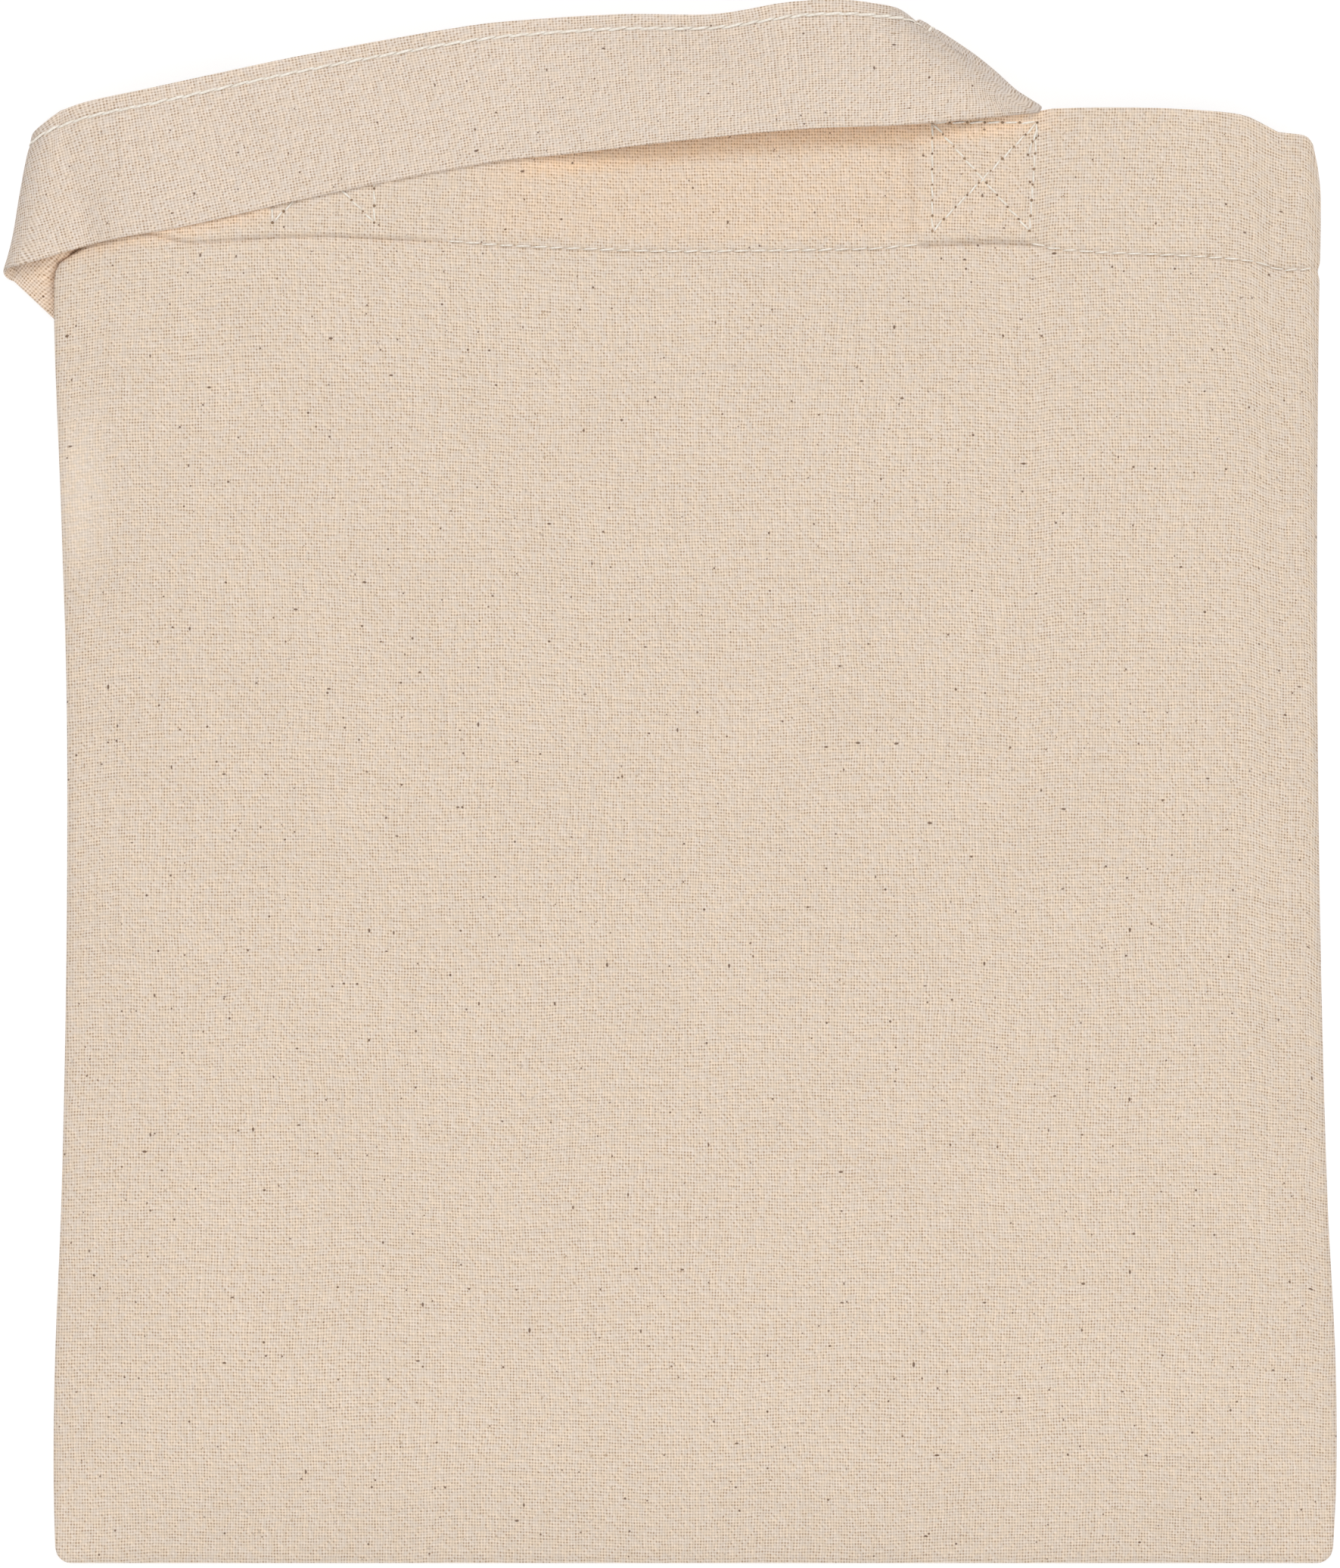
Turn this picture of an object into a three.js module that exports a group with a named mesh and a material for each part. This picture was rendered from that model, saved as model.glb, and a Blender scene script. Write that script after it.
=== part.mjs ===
// A small plain cotton tote bag, lying flat on its back with its mouth towards +Y and its front up.
// Three sewn pieces: the body, one length of cloth folded at the bottom and seamed up both sides,
// and two flat strap handles. The front handle is folded over to the left at its right-hand root,
// runs across the mouth, goes round the bag's left edge and comes back over the mouth from behind.
// The back handle is folded down flat behind the bag. Units are millimetres, the floor is z = 0.

import * as THREE from "three";

// Cloth
const CLOTH = 1.0; // wall of the body
const HEM_WALL = 1.5; // wall of the top hem, where the cloth is turned in
const HEM_DEPTH = 27.5;
const SEAM_TURNING = 6; // side seam turnings, which lie inside
const BOTTOM_TURNING = 1.3;
const STRAP = 1.0; // thickness of a handle
const STRAP_WIDTH = 27;
const GAP = 0.35; // air between two pieces that lie on each other
const LEVEL = STRAP + GAP; // rise from one layer of strap to the next

// Outline of the body
const BOTTOM_Y = -149.6;
const MOUTH_Y = 129.6;
const CORNER = 3; // radius of the two bottom corners
const SIDES = [
  { y: -150, left: -118.0, right: 127.2 },
  { y: -132, left: -118.4, right: 128.0 },
  { y: -110, left: -118.1, right: 127.8 },
  { y: -80, left: -116.9, right: 126.3 },
  { y: -38, left: -116.0, right: 125.1 },
  { y: 10, left: -115.8, right: 124.4 },
  { y: 50, left: -116.8, right: 124.3 },
  { y: 88, left: -118.2, right: 124.6 },
  { y: 112, left: -118.0, right: 125.1 },
  { y: 132, left: -116.6, right: 122.8 },
];
const TOP_EDGE = [
  { x: -119, y: 128.6 },
  { x: -104, y: 130.9 },
  { x: -66, y: 131.6 },
  { x: -38, y: 130.6 },
  { x: 0, y: 129.8 },
  { x: 56, y: 129.2 },
  { x: 67, y: 128.0 },
  { x: 74, y: 128.4 },
  { x: 80, y: 129.3 },
  { x: 90, y: 129.5 },
  { x: 104, y: 128.9 },
  { x: 111, y: 127.9 },
  { x: 116, y: 125.1 },
  { x: 121, y: 124.5 },
  { x: 126, y: 123.2 },
];

// Loft of the empty bag: thin at the seams and the bottom fold, open at the mouth
const EDGE = 2.6; // thickness at a side seam or at the bottom fold
const LOFT = 7.8; // how much more the middle stands up
const SIDE_RUN = 30; // distance from a seam over which it rises
const BOTTOM_RUN = 30;
const SETTLE = 0.6; // share of a lift from below that the air inside takes up
const BILLOWS = [
  { x: -62, y: -20, reach: 44, lift: 0.35 },
  { x: 58, y: -66, reach: 52, lift: -0.35 },
  { x: 84, y: 34, reach: 38, lift: 0.3 },
  { x: -40, y: -104, reach: 36, lift: -0.25 },
  { x: 20, y: 60, reach: 40, lift: -0.25 },
];

// Where each handle is sewn inside the hem: centre line and lower end
const LEFT_ROOT = { x: -66.5, end: 107 };
const RIGHT_ROOT = { x: 60, end: 104.2 };
const HALF = STRAP_WIDTH / 2;

// Front handle, from its right root: a slanting fold, the stretch across the mouth, a fold round
// the bag's left edge, a stretch behind the bag, and a fold that turns it up to its left root
const RIGHT_FOLD = { upperX: 46.5, upperY: 145, lowerX: 70.3, lowerY: 127.9 }; // ends of the slanting crease
const STRETCH = [
  { upperX: 44.2, upperY: 146.7, lowerX: 67.9, lowerY: 129.3, lift: 0.3 },
  { upperX: 41, upperY: 148.9, lowerX: 57, lowerY: 127.6, lift: 0.9 },
  { upperX: 32.5, upperY: 149.9, lowerX: 43, lowerY: 126.4, lift: 1.5 },
  { upperX: 22, upperY: 149.3, lowerX: 29, lowerY: 125.9, lift: 1.8 },
  { upperX: 8, upperY: 147.1, lowerX: 14, lowerY: 124.8, lift: 1.4 },
  { upperX: -12, upperY: 147.3, lowerX: -6, lowerY: 122.4, lift: 0.8 },
  { upperX: -41, upperY: 144.8, lowerX: -35, lowerY: 118.8, lift: 0.6 },
  { upperX: -70, upperY: 139.5, lowerX: -64, lowerY: 113.2, lift: 0.6 },
  { upperX: -98, upperY: 133.6, lowerX: -92, lowerY: 107.2, lift: 0.6 },
  { upperX: -111, upperY: 131.0, lowerX: -108, lowerY: 102.6, lift: 0.6 },
  { upperX: -118.4, upperY: 128.1, lowerX: -125.8, lowerY: 97.6, lift: 0.5 },
];
const STRETCH_STEPS = 40;
const CLEAR = 2; // how far past an edge a handle lies level before it falls
const DROOP = 0.25; // slope at which the handles hang past the mouth's edge
const SHOULDER = 0.2; // slope at which the front handle falls past the bag's left edge
const LEFT_SLIP = 3; // how far it moves along its left crease as it goes round
const TURN_UP_Y = 59; // where the stretch behind the bag turns up
const TURN_UP_SLANT = 5.75; // rise of that crease from its middle to its end
const BEHIND = [
  { share: 0.3, layer: 1 },
  { share: 0.56, layer: 2 },
];
const LEFT_WRAP_Y = 132.4; // crease of the front handle over the mouth's edge

// Back handle, folded down behind the bag as a loop with two mitred corners
const BACK_WRAP = 0.5; // its creases stand this far off the mouth's edge
const LOOP_Y = 15; // centre line of the loop's foot
const LEFT_LEG = [
  { y: 105, layer: 2 },
  { y: 94, layer: 3 },
  { y: 51, layer: 3 },
  { y: 40, layer: 2 },
];
const RIGHT_LEG = [
  { y: 33, layer: 2 },
  { y: 48, layer: 1 },
];

// How many layers of strap lift the back of the bag, and where
const LIFTS = [
  { left: -84, right: 78, low: -6, high: 160, layers: 1 },
  { left: -84, right: -49, low: -6, high: 160, layers: 2 },
  { left: -88, right: -45, low: 45, high: 99, layers: 3 },
  { left: -140, right: -84, low: 44, high: 128, layers: 1 },
  { left: -104, right: -84, low: 44, high: 112, layers: 2 },
  { left: 42, right: 78, low: -6, high: 40, layers: 2 },
];
const LIFT_RUN = 14; // distance over which the cloth comes down again
const LIFT_SPARE = 0.3;

// Fineness
const EDGE_STEPS = [0, 0.8, 2.5, 6]; // grid lines beside a seam or fold
const COLUMNS = 24; // grid cells between them, across the bag
const ROWS = 22; // and up to the hem
const HEM_ROWS = 4;
const HEM_STEP = 0.4; // height of the step where the turned-in cloth ends
const ACROSS = 4; // cells across a strap
const FOLD_STEPS = 8; // facets round a fold
const SLOPE_REACH = 1; // half of the distance over which a slope is taken

const BODY_COLOR = 0xdfcdba;
const STRAP_COLOR = 0xdccab6;

const UP = new THREE.Vector3(0, 0, 1);

function smooth(t) {
  const s = THREE.MathUtils.clamp(t, 0, 1);
  return s * s * (3 - 2 * s);
}

// Value of one column of a table at a place, by a smooth curve through the rows
function lookup(table, key, column, at) {
  const last = table.length - 1;
  const place = THREE.MathUtils.clamp(at, table[0][key], table[last][key]);
  let row = 0;
  while (row < last - 1 && place > table[row + 1][key]) row += 1;
  const slope = (i) => {
    const before = table[Math.max(i - 1, 0)];
    const after = table[Math.min(i + 1, last)];
    return (after[column] - before[column]) / (after[key] - before[key]);
  };
  const start = table[row];
  const end = table[row + 1];
  const span = end[key] - start[key];
  const t = (place - start[key]) / span;
  const ease = smooth(t);
  const leave = span * slope(row) * t * (1 - t) * (1 - t);
  const arrive = span * slope(row + 1) * t * t * (1 - t);
  return start[column] + (end[column] - start[column]) * ease + leave - arrive;
}

// Inset of the side where the bottom corner is rounded
function cornerInset(y) {
  const rise = THREE.MathUtils.clamp(y - BOTTOM_Y, 0, CORNER);
  return CORNER - Math.sqrt(CORNER * CORNER - (CORNER - rise) * (CORNER - rise));
}

const leftSide = (y) => lookup(SIDES, "y", "left", y) + cornerInset(y);
const rightSide = (y) => lookup(SIDES, "y", "right", y) - cornerInset(y);
const topEdge = (x) => lookup(TOP_EDGE, "x", "y", x);

// Underside of the back panel: the floor, or the layers of strap that it lies on
function underside(x, y) {
  const heights = LIFTS.map((lift) => {
    const across = smooth((x - lift.left) / LIFT_RUN + 1) * smooth((lift.right - x) / LIFT_RUN + 1);
    const along = smooth((y - lift.low) / LIFT_RUN + 1) * smooth((lift.high - y) / LIFT_RUN + 1);
    return (lift.layers * LEVEL + LIFT_SPARE) * across * along;
  });
  return Math.max(...heights);
}

// Rise from an edge: steep at the edge, level once the run is done
function rise(distance, run) {
  const rest = 1 - THREE.MathUtils.clamp(distance / run, 0, 1);
  return 1 - rest * rest;
}

// Upper side of the front panel
function topside(x, y) {
  const below = underside(x, y);
  const side = Math.min(x - leftSide(y), rightSide(y) - x);
  const crown = rise(side, SIDE_RUN) * rise(y - BOTTOM_Y, BOTTOM_RUN);
  const billow = BILLOWS.reduce((sum, b) => {
    const far = ((x - b.x) ** 2 + (y - b.y) ** 2) / (b.reach * b.reach);
    return sum + b.lift * Math.exp(-far);
  }, 0);
  return below + EDGE + crown * (LOFT + billow - SETTLE * below);
}

// Distances across a sheet, close together beside both ends
function gridAcross(length) {
  const margin = EDGE_STEPS[EDGE_STEPS.length - 1];
  const middle = length - 2 * margin;
  const steps = [...EDGE_STEPS];
  for (let i = 1; i < COLUMNS; i += 1) steps.push(margin + (middle * i) / COLUMNS);
  return [...steps, ...EDGE_STEPS.map((step) => length - step).reverse()];
}

// Shares of the height from the bottom fold to the mouth, with a step at the end of the hem
function gridUp() {
  const height = MOUTH_Y - BOTTOM_Y;
  const hem = height - HEM_DEPTH;
  const margin = EDGE_STEPS[EDGE_STEPS.length - 1];
  const steps = [...EDGE_STEPS];
  for (let i = 1; i < ROWS; i += 1) steps.push(margin + ((hem - HEM_STEP - margin) * i) / ROWS);
  steps.push(hem - HEM_STEP);
  for (let i = 0; i <= HEM_ROWS; i += 1) steps.push(hem + (HEM_DEPTH * i) / HEM_ROWS);
  return steps.map((step) => step / height);
}

// A solid from points and triangles
function solid(points, triangles) {
  const geometry = new THREE.BufferGeometry();
  geometry.setAttribute("position", new THREE.Float32BufferAttribute(points.flat(), 3));
  geometry.setIndex(triangles.flat());
  geometry.computeVertexNormals();
  return geometry;
}

// The body: an outer and an inner skin, each a front and a back sheet that share their side and
// bottom edges, joined round the mouth by the fold of the hem
function bodyGeometry() {
  const shares = gridUp();
  const rows = shares.length;
  const columns = 2 * EDGE_STEPS.length + COLUMNS - 1;
  const hemStart = MOUTH_Y - BOTTOM_Y - HEM_DEPTH - HEM_STEP / 2;
  const hemShare = hemStart / (MOUTH_Y - BOTTOM_Y);
  const points = [];
  const triangles = [];

  // One skin, inset from the outline; gives the index of a sheet's grid point
  function skin(sideInset, bottomInset, wallAt, flip) {
    const floorY = BOTTOM_Y + bottomInset;
    const place = (row, column) => {
      const level = floorY + shares[row] * (MOUTH_Y - floorY);
      const low = leftSide(level) + sideInset;
      const high = rightSide(level) - sideInset;
      const x = low + gridAcross(high - low)[column];
      return [x, floorY + shares[row] * (topEdge(x) - floorY)];
    };
    const index = { front: [], back: [] };
    for (let row = 0; row < rows; row += 1) {
      index.front.push([]);
      index.back.push([]);
      for (let column = 0; column < columns; column += 1) {
        const [x, y] = place(row, column);
        const wall = wallAt(shares[row]);
        const front = topside(x, y) - wall;
        const back = underside(x, y) + wall;
        const onEdge = row === 0 || column === 0 || column === columns - 1;
        index.front[row].push(points.length);
        points.push([x, y, onEdge ? (front + back) / 2 : front]);
        index.back[row].push(onEdge ? points.length - 1 : points.length);
        if (!onEdge) points.push([x, y, back]);
      }
    }
    const quad = (a, b, c, d, turned) => {
      if (turned) triangles.push([a, c, b], [a, d, c]);
      else triangles.push([a, b, c], [a, c, d]);
    };
    for (let row = 0; row < rows - 1; row += 1) {
      for (let column = 0; column < columns - 1; column += 1) {
        [index.front, index.back].forEach((sheet, side) => {
          const lower = sheet[row];
          const upper = sheet[row + 1];
          const corners = [lower[column], lower[column + 1], upper[column + 1], upper[column]];
          quad(...corners, (side === 1) !== flip);
        });
      }
    }
    return index;
  }

  const outer = skin(0, 0, () => 0, false);
  const wall = (share) => (share > hemShare ? HEM_WALL : CLOTH);
  const inner = skin(SEAM_TURNING, BOTTOM_TURNING, wall, true);

  const loop = (index) => {
    const front = index.front[rows - 1];
    const back = index.back[rows - 1];
    return [...front, ...back.slice(1, -1).reverse()];
  };
  const outside = loop(outer);
  const inside = loop(inner);
  outside.forEach((point, i) => {
    const next = (i + 1) % outside.length;
    triangles.push([point, outside[next], inside[next]], [point, inside[next], inside[i]]);
  });
  return solid(points, triangles);
}

// A row of points across a strap from edge a to edge b, all with one normal
function rung(a, b, normal) {
  const points = [];
  for (let i = 0; i <= ACROSS; i += 1) points.push(a.clone().lerp(b, i / ACROSS));
  return { points, normals: points.map(() => normal.clone()) };
}

// Rungs round a fold, between a rung that enters it and one above or below that leaves it
function fold(enter, leave, heading) {
  const crease = enter.points[ACROSS].clone().sub(enter.points[0]).setZ(0).normalize();
  const out = crease.clone().cross(UP);
  if (out.dot(heading) < 0) out.negate();
  const rungs = [];
  for (let step = 1; step < FOLD_STEPS; step += 1) {
    const angle = (Math.PI * step) / FOLD_STEPS;
    const climb = (1 - Math.cos(angle)) / 2;
    const points = enter.points.map((start, i) => {
      const end = leave.points[i];
      const reach = (Math.abs(end.z - start.z) / 2) * Math.sin(angle);
      return start.clone().lerp(end, climb).addScaledVector(out, reach);
    });
    const upward = Math.sign(leave.points[0].z - enter.points[0].z);
    const side = Math.sign(enter.normals[0].z);
    const normal = UP.clone().multiplyScalar(side * Math.cos(angle));
    normal.addScaledVector(out, -side * upward * Math.sin(angle));
    rungs.push({ points, normals: points.map(() => normal.clone()) });
  }
  return rungs;
}

// A strap: its rungs thickened along their normals, and closed at both ends
function strapGeometry(rungs) {
  const points = [];
  const triangles = [];
  const ring = 2 * (ACROSS + 1);
  rungs.forEach(({ points: middle, normals }) => {
    const shift = (i, side) => middle[i].clone().addScaledVector(normals[i], (side * STRAP) / 2);
    for (let i = 0; i <= ACROSS; i += 1) points.push(shift(i, 1).toArray());
    for (let i = ACROSS; i >= 0; i -= 1) points.push(shift(i, -1).toArray());
  });
  for (let r = 0; r < rungs.length - 1; r += 1) {
    for (let i = 0; i < ring; i += 1) {
      const a = r * ring + i;
      const b = r * ring + ((i + 1) % ring);
      triangles.push([a, b, b + ring], [a, b + ring, a + ring]);
    }
  }
  const end = (rungs.length - 1) * ring;
  for (let i = 0; i < ACROSS; i += 1) {
    const cap = [i, i + 1, ring - 2 - i, ring - 1 - i];
    triangles.push([cap[0], cap[2], cap[1]], [cap[0], cap[3], cap[2]]);
    const [a, b, c, d] = cap.map((corner) => corner + end);
    triangles.push([a, b, c], [a, c, d]);
  }
  return solid(points, triangles);
}

// Heights of a skin at the corners of a sewn strap end
function atCorners(root, skin) {
  const xs = [root.x - HALF, root.x + HALF];
  return xs.flatMap((x) => [root.end, MOUTH_Y].map((y) => skin(x, y)));
}

// Middle of a strap that lies against the inside of the front hem, or of the back hem
const SEAT = HEM_WALL + GAP + STRAP / 2;
const frontSeat = (root) => Math.min(...atCorners(root, topside)) - SEAT;
const backSeat = (root) => Math.max(...atCorners(root, underside)) + SEAT;
const onFloor = (layer) => STRAP / 2 + (layer - 1) * LEVEL;

// Height of the front handle over the bag, past its mouth and past its left edge
function overBag(x, y, lift) {
  const past = Math.max(0, y - topEdge(x));
  const beside = Math.max(0, leftSide(y) - x);
  const seat = topside(x + beside, y - past) + GAP + STRAP / 2;
  return seat + lift - DROOP * Math.max(0, past - CLEAR) - SHOULDER * Math.max(0, beside - CLEAR);
}

// The stretch across the mouth: plan from the table, height from what it lies on
function stretchRungs() {
  const rows = STRETCH.map((row, at) => ({ at, ...row }));
  const rungs = [];
  for (let step = 0; step <= STRETCH_STEPS; step += 1) {
    const at = ((STRETCH.length - 1) * step) / STRETCH_STEPS;
    const value = (column) => lookup(rows, "at", column, at);
    const upper = new THREE.Vector3(value("upperX"), value("upperY"), 0);
    const lower = new THREE.Vector3(value("lowerX"), value("lowerY"), 0);
    const lift = value("lift");
    const height = (x, y) => overBag(x, y, lift);
    const flat = rung(upper, lower, UP);
    const run = 2 * SLOPE_REACH;
    flat.points.forEach((point, i) => {
      const { x, y } = point;
      const slopeX = (height(x + SLOPE_REACH, y) - height(x - SLOPE_REACH, y)) / run;
      const slopeY = (height(x, y + SLOPE_REACH) - height(x, y - SLOPE_REACH)) / run;
      point.z = height(x, y);
      flat.normals[i].set(slopeX, slopeY, -1).normalize();
    });
    rungs.push(flat);
  }
  return rungs;
}

// A straight rung across a strap whose edges run up or down the bag
const acrossX = (xa, xb, y, z, normal) => {
  return rung(new THREE.Vector3(xa, y, z), new THREE.Vector3(xb, y, z), normal);
};

// Rungs part of the way from one rung to another, at given shares and layers
function between(start, finish, steps, normal) {
  return steps.map(({ share, layer }) => {
    const a = start.points[0].clone().lerp(finish.points[0], share).setZ(onFloor(layer));
    const b = start.points[ACROSS].clone().lerp(finish.points[ACROSS], share).setZ(onFloor(layer));
    return rung(a, b, normal);
  });
}

function frontHandle() {
  const down = UP.clone().negate();
  const right = [RIGHT_ROOT.x - HALF, RIGHT_ROOT.x + HALF];
  const left = [LEFT_ROOT.x + HALF, LEFT_ROOT.x - HALF];

  // Right root, up out of the mouth to the slanting crease
  const rightSeat = frontSeat(RIGHT_ROOT);
  const fall = (x, y) => DROOP * Math.max(0, y - topEdge(x) - CLEAR);
  const hang = (x, y) => new THREE.Vector3(x, y, rightSeat - fall(x, y));
  const root = acrossX(...right, RIGHT_ROOT.end, rightSeat, UP);
  const { upperX, upperY, lowerX, lowerY } = RIGHT_FOLD;
  const crease = rung(hang(upperX, upperY), hang(lowerX, lowerY), UP);
  const share = (MOUTH_Y - RIGHT_ROOT.end) / (upperY - RIGHT_ROOT.end);
  const atMouth = (i) => root.points[i].clone().lerp(crease.points[i], share).setZ(rightSeat);
  const mouth = rung(atMouth(0), atMouth(ACROSS), UP);
  const stretch = stretchRungs();
  const over = fold(crease, stretch[0], new THREE.Vector3(0, 1, 0));

  // Round the left edge and behind the bag
  const edge = stretch[stretch.length - 1];
  const slip = edge.points[ACROSS].clone().sub(edge.points[0]).setLength(LEFT_SLIP);
  const flatten = (point) => point.clone().add(slip).setZ(onFloor(1));
  const under = rung(flatten(edge.points[0]), flatten(edge.points[ACROSS]), UP);
  const round = fold(edge, under, new THREE.Vector3(-1, 0, 0));
  const turnUpper = new THREE.Vector3(left[0], TURN_UP_Y + TURN_UP_SLANT, onFloor(2));
  const turnLower = new THREE.Vector3(left[1], TURN_UP_Y - TURN_UP_SLANT, onFloor(2));
  const turn = rung(turnUpper, turnLower, UP);
  const behind = between(under, turn, BEHIND, UP);
  const turned = rung(turnUpper.clone().setZ(onFloor(1)), turnLower.clone().setZ(onFloor(1)), down);
  const turnFold = fold(turn, turned, new THREE.Vector3(0, -1, 0));

  // Up to the mouth, over its edge and down to the left root
  const leftSeat = frontSeat(LEFT_ROOT);
  const wrap = acrossX(...left, LEFT_WRAP_Y, onFloor(1), down);
  const wrapped = acrossX(...left, LEFT_WRAP_Y, leftSeat, UP);
  const wrapFold = fold(wrap, wrapped, new THREE.Vector3(0, 1, 0));
  const end = acrossX(...left, LEFT_ROOT.end, leftSeat, UP);
  return [
    root, mouth, crease, ...over, ...stretch, ...round, under, ...behind,
    turn, ...turnFold, turned, wrap, ...wrapFold, wrapped, end,
  ];
}

function backHandle() {
  const down = UP.clone().negate();
  const left = [LEFT_ROOT.x - HALF, LEFT_ROOT.x + HALF];
  const right = [RIGHT_ROOT.x + HALF, RIGHT_ROOT.x - HALF];
  const upward = new THREE.Vector3(0, 1, 0);
  const high = LOOP_Y + HALF;
  const low = LOOP_Y - HALF;

  // Left root, over the mouth's edge and down behind the bag, across the front handle's layers
  const leftCrease = topEdge(LEFT_ROOT.x) + BACK_WRAP;
  const root = acrossX(...left, LEFT_ROOT.end, backSeat(LEFT_ROOT), UP);
  const wrap = acrossX(...left, leftCrease, backSeat(LEFT_ROOT), UP);
  const wrapped = acrossX(...left, leftCrease, onFloor(2), down);
  const leftLeg = LEFT_LEG.map(({ y, layer }) => acrossX(...left, y, onFloor(layer), down));

  // Foot of the loop, between its two mitred corners
  const corner = (edges, layer, normal) => {
    const z = onFloor(layer);
    return rung(new THREE.Vector3(edges[0], high, z), new THREE.Vector3(edges[1], low, z), normal);
  };
  const leftIn = corner(left, 2, down);
  const leftOut = corner(left, 1, UP);
  const rightIn = corner(right, 1, UP);
  const rightOut = corner(right, 2, down);

  // Up behind the bag and over the mouth's edge to the right root
  const rightCrease = topEdge(RIGHT_ROOT.x) + BACK_WRAP;
  const rightLeg = RIGHT_LEG.map(({ y, layer }) => acrossX(...right, y, onFloor(layer), down));
  const rightWrap = acrossX(...right, rightCrease, onFloor(1), down);
  const rightWrapped = acrossX(...right, rightCrease, backSeat(RIGHT_ROOT), UP);
  const end = acrossX(...right, RIGHT_ROOT.end, backSeat(RIGHT_ROOT), UP);
  return [
    root, wrap, ...fold(wrap, wrapped, upward), wrapped, ...leftLeg,
    leftIn, ...fold(leftIn, leftOut, new THREE.Vector3(0, -1, 0)), leftOut,
    rightIn, ...fold(rightIn, rightOut, new THREE.Vector3(1, 0, 0)), rightOut,
    ...rightLeg, rightWrap, ...fold(rightWrap, rightWrapped, upward), rightWrapped, end,
  ];
}

function cloth(color) {
  return new THREE.MeshStandardMaterial({ color, roughness: 0.92, metalness: 0 });
}

function piece(name, geometry, color) {
  const mesh = new THREE.Mesh(geometry, cloth(color));
  mesh.name = name;
  return mesh;
}

const tote = new THREE.Group();
tote.add(piece("bag_body", bodyGeometry(), BODY_COLOR));
tote.add(piece("handle_front", strapGeometry(frontHandle()), STRAP_COLOR));
tote.add(piece("handle_back", strapGeometry(backHandle()), STRAP_COLOR));

export default tote;
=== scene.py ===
"""Dresses a small plain cotton tote bag that lies flat on its back, its mouth towards +Y and its front up.

Lengths are metres and the floor is z = 0. The bag is three sewn pieces: an open body with a deep top hem,
and two flat strap handles. Sewing and needle holes are small meshes that lie on them.
"""

import logging
import math
from dataclasses import dataclass
from enum import Enum

import bpy
import numpy as np
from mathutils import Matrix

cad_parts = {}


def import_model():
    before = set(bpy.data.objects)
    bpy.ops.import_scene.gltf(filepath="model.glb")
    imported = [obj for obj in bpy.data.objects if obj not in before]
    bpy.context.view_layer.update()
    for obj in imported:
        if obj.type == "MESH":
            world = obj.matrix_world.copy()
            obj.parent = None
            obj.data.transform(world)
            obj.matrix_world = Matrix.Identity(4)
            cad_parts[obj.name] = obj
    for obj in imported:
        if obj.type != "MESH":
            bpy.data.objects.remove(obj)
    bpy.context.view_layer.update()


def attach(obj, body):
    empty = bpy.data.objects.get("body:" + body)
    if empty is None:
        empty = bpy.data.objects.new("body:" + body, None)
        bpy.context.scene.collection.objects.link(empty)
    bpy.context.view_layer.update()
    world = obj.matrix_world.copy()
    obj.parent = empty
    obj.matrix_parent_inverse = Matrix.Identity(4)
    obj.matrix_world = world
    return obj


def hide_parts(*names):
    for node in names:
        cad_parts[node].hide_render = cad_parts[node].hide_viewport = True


LOG = logging.getLogger("tote")
Array = np.ndarray
Colour = tuple[float, float, float]
Piece = bpy.types.Object
Material = bpy.types.Material
Socket = bpy.types.NodeSocket
UP = np.array((0.0, 0.0, 1.0))
BODY = "root"
CLOTH_UV = "cloth"
# Number kept per point for the hem's warmer tone and for painted warm light in the strap's shadow
TONE_AND_PAINTED_LIGHT = "tone_and_painted_light"
FELTED = "felted"
# Number kept per point for painted shade along the strap's rounded folds
PAINTED_FOLD_SHADE = "painted_fold_shade"

# Columns: y, x of the left side, x of the right side
SIDES = np.array(
    [
        (-0.1500, -0.1180, 0.1272),
        (-0.1320, -0.1184, 0.1280),
        (-0.1100, -0.1181, 0.1278),
        (-0.0800, -0.1169, 0.1263),
        (-0.0380, -0.1160, 0.1251),
        (0.0100, -0.1158, 0.1244),
        (0.0500, -0.1168, 0.1243),
        (0.0880, -0.1182, 0.1246),
        (0.1120, -0.1180, 0.1250),
        (0.1180, -0.1176, 0.1245),
        (0.1230, -0.1173, 0.1236),
        (0.1320, -0.1166, 0.1215),
    ]
)
# Columns: y, how far the left side is drawn in beside the strap that goes round it
PINCH = np.array(
    [
        (0.0965, 0.0),
        (0.0980, 0.0002),
        (0.0996, 0.0008),
        (0.1006, 0.0018),
        (0.1014, 0.0031),
        (0.1027, 0.0049),
        (0.1045, 0.0060),
        (0.1080, 0.0060),
        (0.1140, 0.0040),
        (0.1220, 0.0014),
        (0.1320, 0.0),
    ]
)
# Columns: x, y of the mouth's edge
TOP_EDGE = np.array(
    [
        (-0.1190, 0.1286),
        (-0.1040, 0.1309),
        (-0.0660, 0.1316),
        (-0.0380, 0.1306),
        (0.0000, 0.1298),
        (0.0560, 0.1292),
        (0.0670, 0.1286),
        (0.0705, 0.1288),
        (0.0735, 0.1293),
        (0.0900, 0.1295),
        (0.1040, 0.1289),
        (0.1110, 0.1279),
        (0.1160, 0.1252),
        (0.1205, 0.1247),
        (0.1222, 0.1243),
        (0.1232, 0.1233),
        (0.1240, 0.1218),
        (0.1260, 0.1200),
    ]
)
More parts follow.
